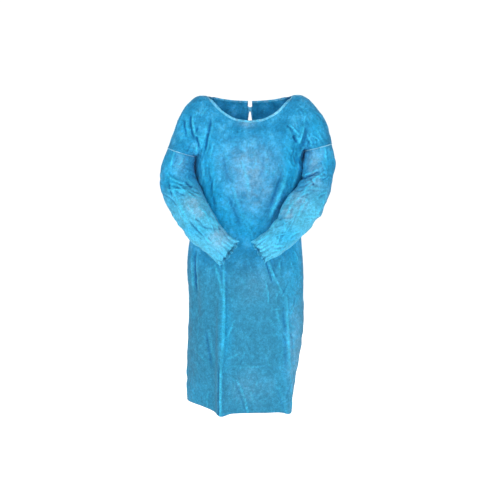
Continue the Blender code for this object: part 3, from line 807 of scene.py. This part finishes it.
def spunbond(name, deep, middle, pale):
    """Thin blue spunbond: a cloudy web of fibres, pale along its creases (whitened web and painted
    highlight), with painted shade in its folds, painted light in patches and light coming through.
    """
    material = bpy.data.materials.new(name)
    material.use_nodes = True
    nodes = material.node_tree.nodes
    links = material.node_tree.links
    shader = nodes["Principled BSDF"]

    def add(kind, **settings):
        node = nodes.new(kind)
        for key, value in settings.items():
            setattr(node, key, value)
        return node

    def put(value, socket):
        if isinstance(value, bpy.types.NodeSocket):
            links.new(value, socket)
        else:
            socket.default_value = (*value, 1.0) if isinstance(value, tuple) else value

    def mixed(share, one, two, blend="MIX"):
        mix = add("ShaderNodeMix", data_type="RGBA", blend_type=blend)
        for index, value in zip(MIX_SOCKETS, (share, one, two)):
            put(value, mix.inputs[index])
        return mix.outputs[2]

    def ranged(value, low, high, to_low=0.0, to_high=1.0):
        scale = add("ShaderNodeMapRange")
        for index, number in enumerate((value, low, high, to_low, to_high)):
            put(number, scale.inputs[index])
        return scale.outputs[0]

    def three_of(layer):
        parts = add("ShaderNodeSeparateColor")
        put(add("ShaderNodeAttribute", attribute_name=layer).outputs["Color"], parts.inputs[0])
        return parts.outputs

    place = add("ShaderNodeTexCoord").outputs["Object"]
    webs = {}
    for web, sizes in WEBS.items():
        noise = add("ShaderNodeTexNoise")
        put(place, noise.inputs["Vector"])
        for socket, size in zip(WEB_SOCKETS, sizes):
            put(size, noise.inputs[socket])
        webs[web] = noise.outputs["Fac"]
    webs["clouds"] = ranged(webs["clouds"], *CLOUD_SPAN)
    bonds = add("ShaderNodeTexVoronoi", voronoi_dimensions="2D")
    put(BONDS_PER_METRE, bonds.inputs["Scale"])
    put(BOND_UNEVEN, bonds.inputs["Randomness"])
    put(add("ShaderNodeUVMap", uv_map="cloth").outputs[0], bonds.inputs["Vector"])
    webs["bonds"] = ranged(bonds.outputs["Distance"], *BOND_EDGE)

    body = mixed(ranged(webs["clouds"], *MIDDLE_SPAN), deep, middle)
    body = mixed(ranged(webs["clouds"], *THIN_SPAN), body, pale)
    shares = dict(zip(LOOKS + TINTS, [*three_of("looks"), *three_of("tints")]))
    # Tints and looks laid over the web: painted light, the crests' whitening and painted highlight, and
    # painted shade in folds
    for tone, most, colour in TONES:
        share = ranged(shares[tone], 0.0, 1.0, 0.0, most)
        if tone == "milky":
            patchy = add("ShaderNodeMath", operation="MULTIPLY")
            put(share, patchy.inputs[0])
            put(ranged(webs["blotches"], *BLOTCH_SPAN), patchy.inputs[1])
            share = patchy.outputs[0]
        body = mixed(share, body, colour)
    for web, *span in WEB_TONES:
        body = mixed(1.0, body, ranged(webs[web], *span), "MULTIPLY")
    put(body, shader.inputs["Base Color"])
    shader.inputs["Roughness"].default_value = CLOTH_ROUGH
    shader.inputs["Specular IOR Level"].default_value = CLOTH_SHINE
    shader.inputs["Sheen Weight"].default_value = CLOTH_SHEEN

    normal = None
    for web, strength, depth in WEB_DENTS:
        dent = add("ShaderNodeBump")
        put(strength, dent.inputs["Strength"])
        put(depth, dent.inputs["Distance"])
        put(webs[web], dent.inputs["Height"])
        if normal:
            put(normal, dent.inputs["Normal"])
        normal = dent.outputs[0]
    put(normal, shader.inputs["Normal"])

    glow = add("ShaderNodeBsdfTranslucent")
    put(body, glow.inputs["Color"])
    both = add("ShaderNodeMixShader")
    for index, value in enumerate((LIGHT_THROUGH, shader.outputs[0], glow.outputs[0])):
        put(value, both.inputs[index])
    put(both.outputs[0], nodes["Material Output"].inputs[0])
    return material


body_cloth = spunbond("body spunbond", BODY_DEEP, BODY_MIDDLE, BODY_PALE)


def panel_sheet(name, grid, height, pale, patches, flip=False):
    """A front or a back of the body's cloth, which is greyer down the skirt."""
    looks = looks_of(grid, height, pale, np.zeros(height.shape))
    tints = tinted(grid, patches)
    tints[..., 0] += eased((SKIRT_TOP - grid[..., 2]) / SKIRT_BLEND)
    return cloth_sheet(name, grid, looks, body_cloth, flip=flip, tints=tints)


front_base = folded(panel_grid(True), FRONT_FOLDS, False)
# Crease paleness: partly whitened web, partly painted highlight; below zero, painted shade
laid, crease_whitening_and_shading = creased(front_base, FRONT_CREASES, FRONT_STREWN)
fade = seam_fade(front_base)
front_height = laid * fade + crumpled(front_base, CRUMPLE)
front_grid = lowered(front_base + outward(front_base, False) * front_height[..., None], FRONT_HEM)
side_pale = EDGE_PALE * (1.0 - seam_fade(front_base, EDGE_REACH))
side_pale *= front_base[..., 2] < ARMPIT_HEIGHT - EDGE_BELOW
front_panel = panel_sheet("front", front_grid, front_height, crease_whitening_and_shading * fade + side_pale, FRONT_TINTS)
front_edges = {-1: front_grid[:, 0], 1: front_grid[:, -1]}

# The welds along the armholes, the sides and the shoulders stand out as thin pale ribs. Section
# of a rib: how far up and across each line of it lies, as shares of its height and its foot
RIB_HEIGHT = 1.6
RIB_FOOT = 1.3
RIB_WALL = 0.4
RIB_SECTION = ((0.0, -1.0), (0.8, -0.35), (1.0, 0.0), (0.0, 1.0))
RIB_UNEVEN = 0.2
RIB_SWELL = 22.0
WELD_DEEP = (0.16, 0.56, 0.80)
WELD_MIDDLE = (0.32, 0.74, 0.92)
WELD_PALE = (0.50, 0.86, 0.97)
weld_cloth = spunbond("welded seam", WELD_DEEP, WELD_MIDDLE, WELD_PALE)

# Each weld: its name, the seam that it stands on, the way it stands out and its share of a full rib
UP = (0.0, 0.0, 1.0)
front_normals = outward(front_grid, False)
over_shoulder = HALF_COLUMNS - NECK_COLUMNS + 1
WELDS = (
    ("right_side_weld", front_edges[-1][:BODY_ROWS], (front_edges[-1] - front_grid[:, 1])[:BODY_ROWS], 0.7),
    ("left_side_weld", front_edges[1][:BODY_ROWS], (front_edges[1] - front_grid[:, -2])[:BODY_ROWS], 0.7),
    ("right_armhole_weld", front_edges[-1][BODY_ROWS:], front_normals[BODY_ROWS:, 1], 1.15),
    ("left_armhole_weld", front_edges[1][BODY_ROWS:], front_normals[BODY_ROWS:, -2], 1.5),
    ("right_shoulder_weld", front_grid[-1, :over_shoulder], UP, 0.8),
    ("left_shoulder_weld", front_grid[-1, -over_shoulder:], UP, 0.8),
)


def weld(name, line, out, share):
    """A thin rib of doubled cloth standing along a seam."""
    out = np.broadcast_to(out, line.shape).astype(float)
    along = unit(np.gradient(line, axis=0))
    out = unit(out - along * np.sum(out * along, axis=1)[:, None])
    foot = np.cross(along, out) * RIB_FOOT * share
    uneven = 1.0 + RIB_UNEVEN * soft_waves(line, RIB_SWELL, np.random.default_rng(len(name)))
    tall = out * RIB_HEIGHT * share * uneven[:, None]
    rib_grid = np.array([line + tall * up + foot * across for up, across in RIB_SECTION])
    rib = cloth_sheet(name, rib_grid, np.zeros(rib_grid.shape), weld_cloth, wall=RIB_WALL)
    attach(rib, "root")
    return rib


ribs = [weld(*row) for row in WELDS]
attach(front_panel, "root")
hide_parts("front_panel")


# Backs. Two panels from the side seams to the centre back, where the gown stays open. Each is
# welded to the front along the shoulder and the side.
BACK_WELD = 1.2
BACK_HEM = ((-235, 6), (-120, 4), (-30, 8), (30, 8), (110, 4), (160, 8))

# Width of the opening between the two backs, at heights from the neck to the hem
BACK_GAP = ((-30, 14), (-200, 26), (-430, 16), (-700, 34), (HEM_HEIGHT, 60))

# Folds, creases, strewn creases and tints, as on the front
BACK_FOLDS = (
    ("right back fold", -118, -300, -124, -1085, 26, 12),
    ("left back fold", 104, -320, 96, -1085, 26, 12),
    ("right blade", -96, -120, -108, -300, 30, 7),
    ("left blade", 96, -120, 108, -300, 30, 7),
    ("right waist trough", -70, -440, -74, -700, 22, -8),
    ("left waist trough", 66, -440, 58, -700, 22, -8),
)
BACK_CREASES = (
    ("right blade drag", -206, -70, -196, -120, -178, -180, 6, -4.0, -0.7),
    ("beside it", -190, -74, -182, -120, -166, -176, 6, 3.0, 0.5),
    ("left blade drag", 208, -74, 196, -124, 180, -182, 6, -4.0, -0.7),
    ("beside that", 192, -80, 184, -126, 168, -174, 6, 3.0, 0.5),
    ("right waist gather", -88, -424, -128, -400, -172, -372, 6, 3.5, 0.5),
    ("right waist gather low", -88, -440, -130, -470, -180, -520, 6, 3.5, 0.5),
    ("left waist gather", 88, -424, 126, -398, 160, -370, 6, 3.5, 0.5),
    ("left waist gather low", 88, -440, 128, -466, 168, -516, 6, 3.5, 0.5),
    ("right skirt ridge", -60, -470, -66, -700, -78, -1000, 7, 3.5, 0.5),
    ("right skirt trough", -96, -560, -104, -760, -108, -1100, 7, -4.0, -0.5),
    ("left skirt ridge", 58, -470, 62, -690, 66, -960, 7, 3.5, 0.5),
    ("left skirt trough", 84, -560, 88, -760, 80, -1100, 7, -4.0, -0.5),
    ("right pack crease", -200, -722, -120, -724, -30, -722, 3, 1.4, 0.5),
    ("left pack crease", 24, -722, 90, -724, 170, -722, 3, 1.4, 0.5),
    ("right pack crease low", -200, -922, -120, -924, -40, -922, 3, 1.4, 0.5),
    ("left pack crease low", 34, -922, 90, -924, 150, -922, 3, 1.4, 0.5),
)
BACK_STREWN = (
    ("right blade", 26, -240, -330, -100, -60, -0.25, 0.3, 36, 1.8, 0.35, 21),
    ("left blade", 26, 100, -330, 240, -60, 0.3, 0.3, 36, 1.8, 0.35, 22),
    ("waist", 30, -170, -540, 150, -360, 1.2, 0.5, 34, 1.6, 0.3, 23),
    ("skirt", 60, -200, -1060, 150, -540, 0.0, 0.5, 42, 1.3, 0.22, 24),
)
# Bright patches here are painted light on places of the backs that lie in shade
BACK_TINTS = (
    ("right blade", -110, -190, 50, 70, "milky", 0.5),
    ("left blade", 110, -190, 50, 70, "milky", 0.5),
    ("right waist", -120, -430, 50, 60, "painted_light", 0.6),
    ("left waist", 110, -430, 50, 60, "painted_light", 0.6),
    ("right side", -200, -800, 24, 160, "painted_light", 0.5),
    ("left side", 160, -800, 24, 160, "painted_light", 0.5),
)

back_whole = folded(panel_grid(False), BACK_FOLDS, True)
back_grids = {}
for side, word in SIDES:
    name = "back_" + word
    from_middle = slice(HALF_COLUMNS, None, side)
    half = back_whole[:, from_middle]
    gaps = read_table(BACK_GAP[::-1], half[:, 0, 2]) / 2
    reaches = row_lengths(half)[:, -1]
    half = np.array(
        [at_places(row, np.linspace(gap, reach, len(row))) for row, gap, reach in zip(half, gaps, reaches)]
    )
    # Crease paleness: partly whitened web, partly painted highlight; below zero, painted shade
    laid, crease_whitening_and_shading = creased(half, BACK_CREASES, BACK_STREWN)
    across = row_lengths(half)
    fade = np.clip((across[0, -1] - across) / SEAM_EASE, 0.0, 1.0)
    height = laid * fade + crumpled(half, CRUMPLE)
    normals = outward(half, side > 0)
    grid = lowered(half + normals * height[..., None], BACK_HEM)
    grid[: BODY_ROWS + 1, -1] = front_edges[side][: BODY_ROWS + 1]
    grid[-1, NECK_COLUMNS:] = front_grid[-1, from_middle][NECK_COLUMNS:]
    piece = panel_sheet(name, grid, height, crease_whitening_and_shading * fade, BACK_TINTS, flip=side > 0)
    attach(piece, "root")
    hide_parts(name + "_panel")
    armhole_rib = weld(name + "_armhole_weld", grid[BODY_ROWS:, -1], normals[BODY_ROWS:, -2], BACK_WELD)
    back_grids[side] = grid


# Sleeves. Straight tubes of the same cloth, welded to the dropped armholes, bent at the elbow
# and crumpled along the forearm, with the light coming through where they are single.
SLEEVE_ROWS = 130
SLEEVE_TURNS = np.arange(2 * YOKE_ROWS) / (2 * YOKE_ROWS)
SLEEVE_CRUMPLE = ((78, 2.4, 31), (40, 2.2, 37), (18, 0.4, 41))
SLEEVE_EASE = 70.0
CUFF_LENGTH = 11.0

# Pale line along the top of the sleeve, partly the whitened crest of its fold and partly painted
# highlight, as shares of a turn, and where the forearm's tint starts and how soon it is full, as
# shares of the length
OVER_ARM_TURN = 0.5
OVER_ARM_SPAN = 0.022
FOREARM_FROM = 0.3
FOREARM_BLEND = 0.25

# Gathers that the elastic draws in: how many all round, how deep, and where each starts
GATHERS = ((5, 0.9, 0.3), (9, 0.8, 1.9), (14, 0.6, 4.4), (23, 0.4, 2.7))
GATHER_REACH = 75.0
GATHER_DEPTH = 2.6
GATHER_POWER = 1.5

# Creases, strewn creases and tints, as on the front
SLEEVE_CREASES = (
    ("right over the arm", -252, -178, -263, -212, -273, -262, 5, 3.0, 0.7),
    ("right elbow dark", -222, -290, -205, -304, -192, -313, 5, -5.0, -0.9),
    ("right elbow outer dark", -282, -288, -270, -319, -264, -348, 6, -4.0, -0.7),
    ("right elbow pale", -289, -262, -248, -294, -192, -306, 6, 5.0, 0.7),
    ("right elbow low pale", -256, -317, -235, -324, -214, -329, 5, 3.0, 0.6),
    ("right forearm long", -268, -316, -235, -369, -198, -441, 8, 4.0, 0.5),
    ("right forearm dark", -209, -410, -178, -447, -138, -476, 7, -4.0, -0.6),
    ("right forearm upper", -185, -362, -145, -400, -107, -442, 7, 4.0, 0.5),
    ("right wrist gathers", -102, -438, -74, -460, -44, -482, 5, 3.0, 0.5),
    ("right under the seam", -214, -192, -201, -200, -186, -210, 6, -4.0, -0.8),
    ("left over the arm", 248, -163, 256, -197, 258, -236, 5, 3.0, 0.7),
    ("left elbow dark", 172, -297, 201, -275, 244, -256, 5, -6.0, -1.0),
    ("left elbow pale", 184, -303, 218, -285, 262, -254, 5, 4.0, 0.7),
    ("left elbow low dark", 203, -282, 211, -295, 214, -309, 5, -4.0, -0.8),
    ("left forearm outer", 262, -312, 242, -369, 205, -424, 8, 4.0, 0.5),
    ("left forearm pale", 202, -334, 178, -369, 154, -410, 7, 4.0, 0.5),
    ("left forearm upper", 156, -300, 131, -366, 84, -415, 6, 4.0, 0.6),
    ("left wrist gather", 70, -491, 94, -498, 122, -493, 4, 3.5, 0.7),
    ("left wrist gather low", 70, -513, 98, -511, 132, -499, 4, 3.5, 0.7),
    ("left under the seam", 174, -185, 187, -192, 207, -192, 5, -3.0, -0.6),
    ("right sleeve against the side", -184, -205, -180, -245, -178, -290, 12, 6.5, 0.0),
    ("left sleeve against the side", 188, -200, 184, -245, 180, -292, 12, 6.0, 0.0),
    ("left forearm against the front", 181, -270, 142, -348, 84, -416, 16, 10.0, 0.0),
)
SLEEVE_STREWN = (
    ("right upper arm", 9, -290, -290, -200, -195, 0.1, 0.5, 30, 2.0, 0.45, 31),
    ("right elbow", 13, -285, -370, -180, -290, 1.2, 0.4, 44, 4.0, 0.6, 32),
    ("right forearm", 18, -250, -490, -80, -370, 0.7, 0.5, 52, 3.6, 0.5, 33),
    ("left upper arm", 9, 190, -280, 285, -180, 0.0, 0.5, 30, 2.0, 0.45, 34),
    ("left elbow", 13, 170, -350, 275, -270, -1.2, 0.4, 44, 4.0, 0.6, 35),
    ("left forearm", 18, 50, -490, 230, -350, -0.7, 0.5, 52, 3.6, 0.5, 36),
)
# Bright patches here are painted light on places of the sleeves that lie in shade
SLEEVE_TINTS = (
    ("right upper arm", -275, -230, 24, 50, "painted_light", 0.7),
    ("right forearm", -195, -364, 20, 20, "milky", 1.8),
    ("right forearm low", -171, -394, 17, 16, "milky", 1.6),
    ("right wrist", -100, -469, 24, 24, "milky", 1.9),
    ("right upper arm inside", -235, -235, 26, 44, "milky", 0.4),
    ("right elbow", -262, -300, 30, 26, "painted_light", 0.9),
    ("right under the forearm", -190, -450, 60, 22, "painted_light", 0.6),
    ("left upper arm", 262, -220, 24, 50, "painted_light", 0.7),
    ("left upper arm inside", 220, -228, 26, 44, "milky", 0.7),
    ("left arm against the side", 176, -270, 22, 60, "painted_light", 0.9),
    ("left forearm upper", 163, -358, 26, 24, "milky", 1.1),
    ("left forearm", 126, -394, 22, 20, "milky", 1.8),
    ("left elbow", 215, -300, 30, 30, "milky", 0.6),
    ("left forearm low", 120, -470, 50, 26, "painted_light", 0.8),
    ("left forearm inside", 110, -400, 20, 40, "painted_light", 0.8),
)


def sleeve_length(side):
    """Length of a sleeve along its middle, with its elastic hem."""
    return lengths_along(sleeve_rows(side)[:, :3])[-1]


def ring_waves(waves, side):
    """Waves all round a sleeve, from rows of how many, how deep and where each starts."""
    return sum(part * np.cos(2 * np.pi * count * SLEEVE_TURNS + start * side) for count, part, start in waves)


def sleeve_rings(side, shares):
    """Grid of a sleeve's rings at shares of its length, its columns running all round."""
    return np.array([sleeve_ring(side, share, SLEEVE_TURNS) for share in shares])


def wrist_gathers(side, shares):
    """Depth of the gathers that the wrist elastic draws in, at each ring and turn."""
    near = np.clip(1.0 - (1.0 - shares) * sleeve_length(side) / GATHER_REACH, 0.0, 1.0) ** GATHER_POWER
    return GATHER_DEPTH * near[:, None] * ring_waves(GATHERS, side)[None, :]


sleeve_ends = {}
for side, word in SIDES:
    length = sleeve_length(side)
    shares = np.linspace(0.0, 1.0 - CUFF_LENGTH / length, SLEEVE_ROWS + 1)
    base = sleeve_rings(side, shares)
    base[0] = np.concatenate([armhole_half(side, True), armhole_half(side, False)[-2:0:-1]])
    # Crease paleness: partly whitened web, partly painted highlight; below zero, painted shade
    laid, crease_whitening_and_shading = creased(base, SLEEVE_CREASES, SLEEVE_STREWN)
    grow = np.clip(shares * length / SLEEVE_EASE, 0.0, 1.0)[:, None]
    height = laid * grow
    height += crumpled(base, CRUMPLE) * (1 - grow) + crumpled(base, SLEEVE_CRUMPLE) * grow
    height += wrist_gathers(side, shares)
    grid = base + outward(base, side > 0, closed=True) * height[..., None]
    grid[0] = np.concatenate([front_edges[side][BODY_ROWS:], back_grids[side][BODY_ROWS:, -1][-2:0:-1]])
    forearm = np.clip((shares - FOREARM_FROM) / FOREARM_BLEND, 0.0, 1.0)[:, None] * np.ones(len(SLEEVE_TURNS))
    # Pale line on top of the sleeve: partly whitened fold, partly painted highlight
    over_arm = EDGE_PALE * np.exp(-(((SLEEVE_TURNS - OVER_ARM_TURN) / OVER_ARM_SPAN) ** 2)) * grow
    looks = looks_of(grid, height, crease_whitening_and_shading + over_arm, forearm, closed=True)
    tints = tinted(grid, SLEEVE_TINTS)
    sleeve = cloth_sheet("sleeve_" + word + "_cloth", grid, looks, body_cloth, side > 0, True, tints=tints)
    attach(sleeve, "root")
    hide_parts("sleeve_" + word)
    sleeve_ends[side] = grid[-1]


# Elastic hems. The end of each sleeve is turned in over a thin elastic that draws it into
# small uneven gathers; the cut edge stays ragged.
CUFF_ROWS = 6
CUFF_WALL = 0.9
RUFFLE = ((7, 1.0, 0.4), (12, 0.8, 2.1), (19, 0.5, 4.0))
RUFFLE_DEPTH = 2.4
RUFFLE_INWARD = 0.6
RUFFLE_RAGGED = 0.12
# How much the ruffles are painted: a painted highlight where they stand out, painted shade where they sink in
RUFFLE_SHADING = 0.25

for side, word in SIDES:
    shares = np.linspace(1.0 - CUFF_LENGTH / sleeve_length(side), 1.0, CUFF_ROWS + 1)
    base = sleeve_rings(side, shares)
    ruffle = ring_waves(RUFFLE, side)
    flare = np.linspace(0.0, 1.0, CUFF_ROWS + 1)[:, None]
    height = wrist_gathers(side, shares) + RUFFLE_DEPTH * flare * (ruffle - RUFFLE_INWARD)
    grid = base + outward(base, side > 0, closed=True) * height[..., None]
    grid += (base[-1] - base[0]) * (flare * ruffle * RUFFLE_RAGGED)[..., None]
    grid += (sleeve_ends[side] - grid[0]) * (1 - flare[..., None]) ** 2
    # The ruffles' paleness and darkness follow their height: painted highlight and shade
    looks = looks_of(grid, height, ruffle * flare * RUFFLE_SHADING, np.ones(height.shape), closed=True)
    cuff = cloth_sheet("cuff_" + word + "_hem", grid, looks, body_cloth, side > 0, True, CUFF_WALL)
    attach(cuff, "root")
    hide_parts("cuff_" + word)


# Neck binding. A folded tape of the same spunbond wraps the raw neck edge and runs on into
# the ties behind the neck, so it is paler and a little stiffer than the cloth.
BINDING_WALL = 1.1
BINDING_SMOOTHING = 3
NECK_FOCUS = (0.0, -8.0, 70.0)
TAPE_DEEP = (0.10, 0.42, 0.66)
TAPE_MIDDLE = (0.18, 0.55, 0.78)
TAPE_PALE = (0.34, 0.72, 0.88)

# Section of the tape, from its edge on the cloth to the neck's side: how far along and how high;
# then its puckers, how pale it is, and how much paler the raised puckers are painted, a painted
# highlight that leaves the sunk ones less pale
TAPE_SECTION = ((-2.5, 0.2), (-1.25, 0.7), (0.5, 0.8), (3.0, 0.8), (5.0, 0.6), (6.0, 0.2))
PUCKER_SWELL = 14.0
PUCKER_SEED = 51
PUCKER_DEPTH = 0.25
TAPE_CREST = 0.25
PUCKER_HIGHLIGHT = 0.3
tape_cloth = spunbond("binding tape", TAPE_DEEP, TAPE_MIDDLE, TAPE_PALE)

# The neck seam runs over the right back, the front and the left back
over_front = slice(HALF_COLUMNS - NECK_COLUMNS, HALF_COLUMNS + NECK_COLUMNS + 1)
neck_parts = (
    (back_grids[-1], False, slice(NECK_COLUMNS)),
    (front_grid, False, over_front),
    (back_grids[1], True, slice(NECK_COLUMNS - 1, None, -1)),
)
neck_seam = np.concatenate([grid[-1, columns] for grid, _, columns in neck_parts])
neck_normals = np.concatenate([outward(grid, flip)[-1, columns] for grid, flip, columns in neck_parts])
for shoulder in (NECK_COLUMNS, 3 * NECK_COLUMNS):
    neck_normals[shoulder] = UP
for _ in range(BINDING_SMOOTHING):
    neck_normals[1:-1] = (neck_normals[:-2] + neck_normals[1:-1] + neck_normals[2:]) / 3
neck_normals = unit(neck_normals)
toward = np.asarray(NECK_FOCUS) - neck_seam
toward = unit(toward - neck_normals * np.sum(toward * neck_normals, axis=1)[:, None])
pucker = soft_waves(neck_seam, PUCKER_SWELL, np.random.default_rng(PUCKER_SEED))
rises = [(rise + PUCKER_DEPTH * pucker)[:, None] for _, rise in TAPE_SECTION]
binding_grid = np.array(
    [neck_seam + toward * along + neck_normals * rise for (along, _), rise in zip(TAPE_SECTION, rises)]
)
binding_looks = np.zeros(binding_grid.shape)
# The tape's paleness, with a painted highlight on its raised puckers
binding_looks[..., 0] = np.clip(TAPE_CREST + PUCKER_HIGHLIGHT * pucker, 0.0, 1.0)
binding = cloth_sheet("neck_tape", binding_grid, binding_looks, tape_cloth, wall=BINDING_WALL)
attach(binding, "root")
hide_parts("neck_binding")


# Ties. Flat strips of folded spunbond: the neck's are the ends of its binding, the waist's are
# welded to the backs. Each passes the middle and hangs on the other side.
TIE_STEP = 5.0
TIE_WALL = 0.9
TIE_OVER_TIE = 4.9
TIE_ON_CLOTH = 2.6
TIE_AT_WELD = 1.0
TIE_CROSSING = 12.0

# Routes of the ties: x away from their own side and height; and half their width
NECK_TIE_HALF = 5.0
NECK_TIE_ROUTE = ((40, -42), (22, -43), (5, -46), (-6, -56), (-10, -76), (-18, -240))
WAIST_TIE_HALF = 11.0
WAIST_TIE_ROUTE = ((84, -430), (50, -430), (14, -431), (-8, -437), (-18, -456), (-24, -500), (-34, -740))

# Lines along a tie as shares of half its width, its soft bow, how its loose end flutters and
# twists, and how pale it is; the paleness rises and falls with the twist, painted light and shade
# on its turns
TIE_ACROSS = (-1.0, -0.85, -0.4, 0.0, 0.4, 0.85, 1.0)
TIE_BOW = 0.5
FLUTTER_SWELL = 60.0
FLUTTER_TWIST = 1.2
TIE_CREST = 0.2
TWIST_LIGHT_AND_SHADE = 0.25
NECK_TIE_SEED = 61
WAIST_TIE_SEED = 71

# Both backs as one coarse sheet, without the columns at the side seams, for the ties to lie on
EDGE_COLUMNS = 8
COARSE_STEP = 3
both_backs = np.concatenate([back_grids[-1][:, ::-1], back_grids[1]], axis=1)
both_backs = both_backs[::COARSE_STEP, EDGE_COLUMNS:-EDGE_COLUMNS]


def back_depth(places):
    """How far back the cloth of the backs lies at places given as x and height."""
    depths = []
    for x, height in places:
        at_x = [np.interp(x, row[:, 0], row[:, 1]) for row in both_backs]
        heights = [np.interp(x, row[:, 0], row[:, 2]) for row in both_backs]
        depths.append(np.interp(height, heights, at_x))
    return np.array(depths)


def tie(name, node, side, route, half_width, seed):
    """One flat tie, lying on the back that it crosses and hanging free below the crossing."""
    corners = np.array([(side * x, 0.0, height) for x, height in route])
    reach = lengths_along(corners)[-1]
    line = smooth_line(corners, int(reach / TIE_STEP))
    across = np.cross(unit(np.gradient(line, axis=0)), [0.0, 1.0, 0.0]) * half_width
    over = TIE_OVER_TIE if side > 0 else TIE_ON_CLOTH
    start = route[0][0]
    crossed = np.clip((start - side * line[:, 0]) / (start - TIE_CROSSING), 0.0, 1.0)
    depths = [back_depth((line + across * share)[:, [0, 2]]) for share in (-1.0, 0.0, 1.0)]
    middle = line.copy()
    middle[:, 1] = np.max(depths, axis=0) + TIE_AT_WELD + (over - TIE_AT_WELD) * crossed
    flutter = soft_waves(line, FLUTTER_SWELL, np.random.default_rng(seed + side))
    flutter *= np.linspace(0.0, 1.0, len(line))
    strips = []
    for share in TIE_ACROSS:
        strip = middle + across * share
        strip[:, 1] += TIE_BOW * (1 - share * share) + flutter * FLUTTER_TWIST * share
        strips.append(strip)
    grid = np.array(strips)
    shown = np.zeros(grid.shape)
    # Paleness of the tie, with painted light and shade that follow its twist
    shown[..., 0] = np.clip(TIE_CREST + TWIST_LIGHT_AND_SHADE * flutter, 0.0, 1.0)
    tape = cloth_sheet(name, grid, shown, tape_cloth, flip=side > 0, wall=TIE_WALL)
    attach(tape, "root")
    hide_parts(node)


for side, word in SIDES:
    tie("neck_tape_end_" + word, "neck_tie_" + word, side, NECK_TIE_ROUTE, NECK_TIE_HALF, NECK_TIE_SEED)
    tie("waist_tape_" + word, "waist_tie_" + word, side, WAIST_TIE_ROUTE, WAIST_TIE_HALF, WAIST_TIE_SEED)
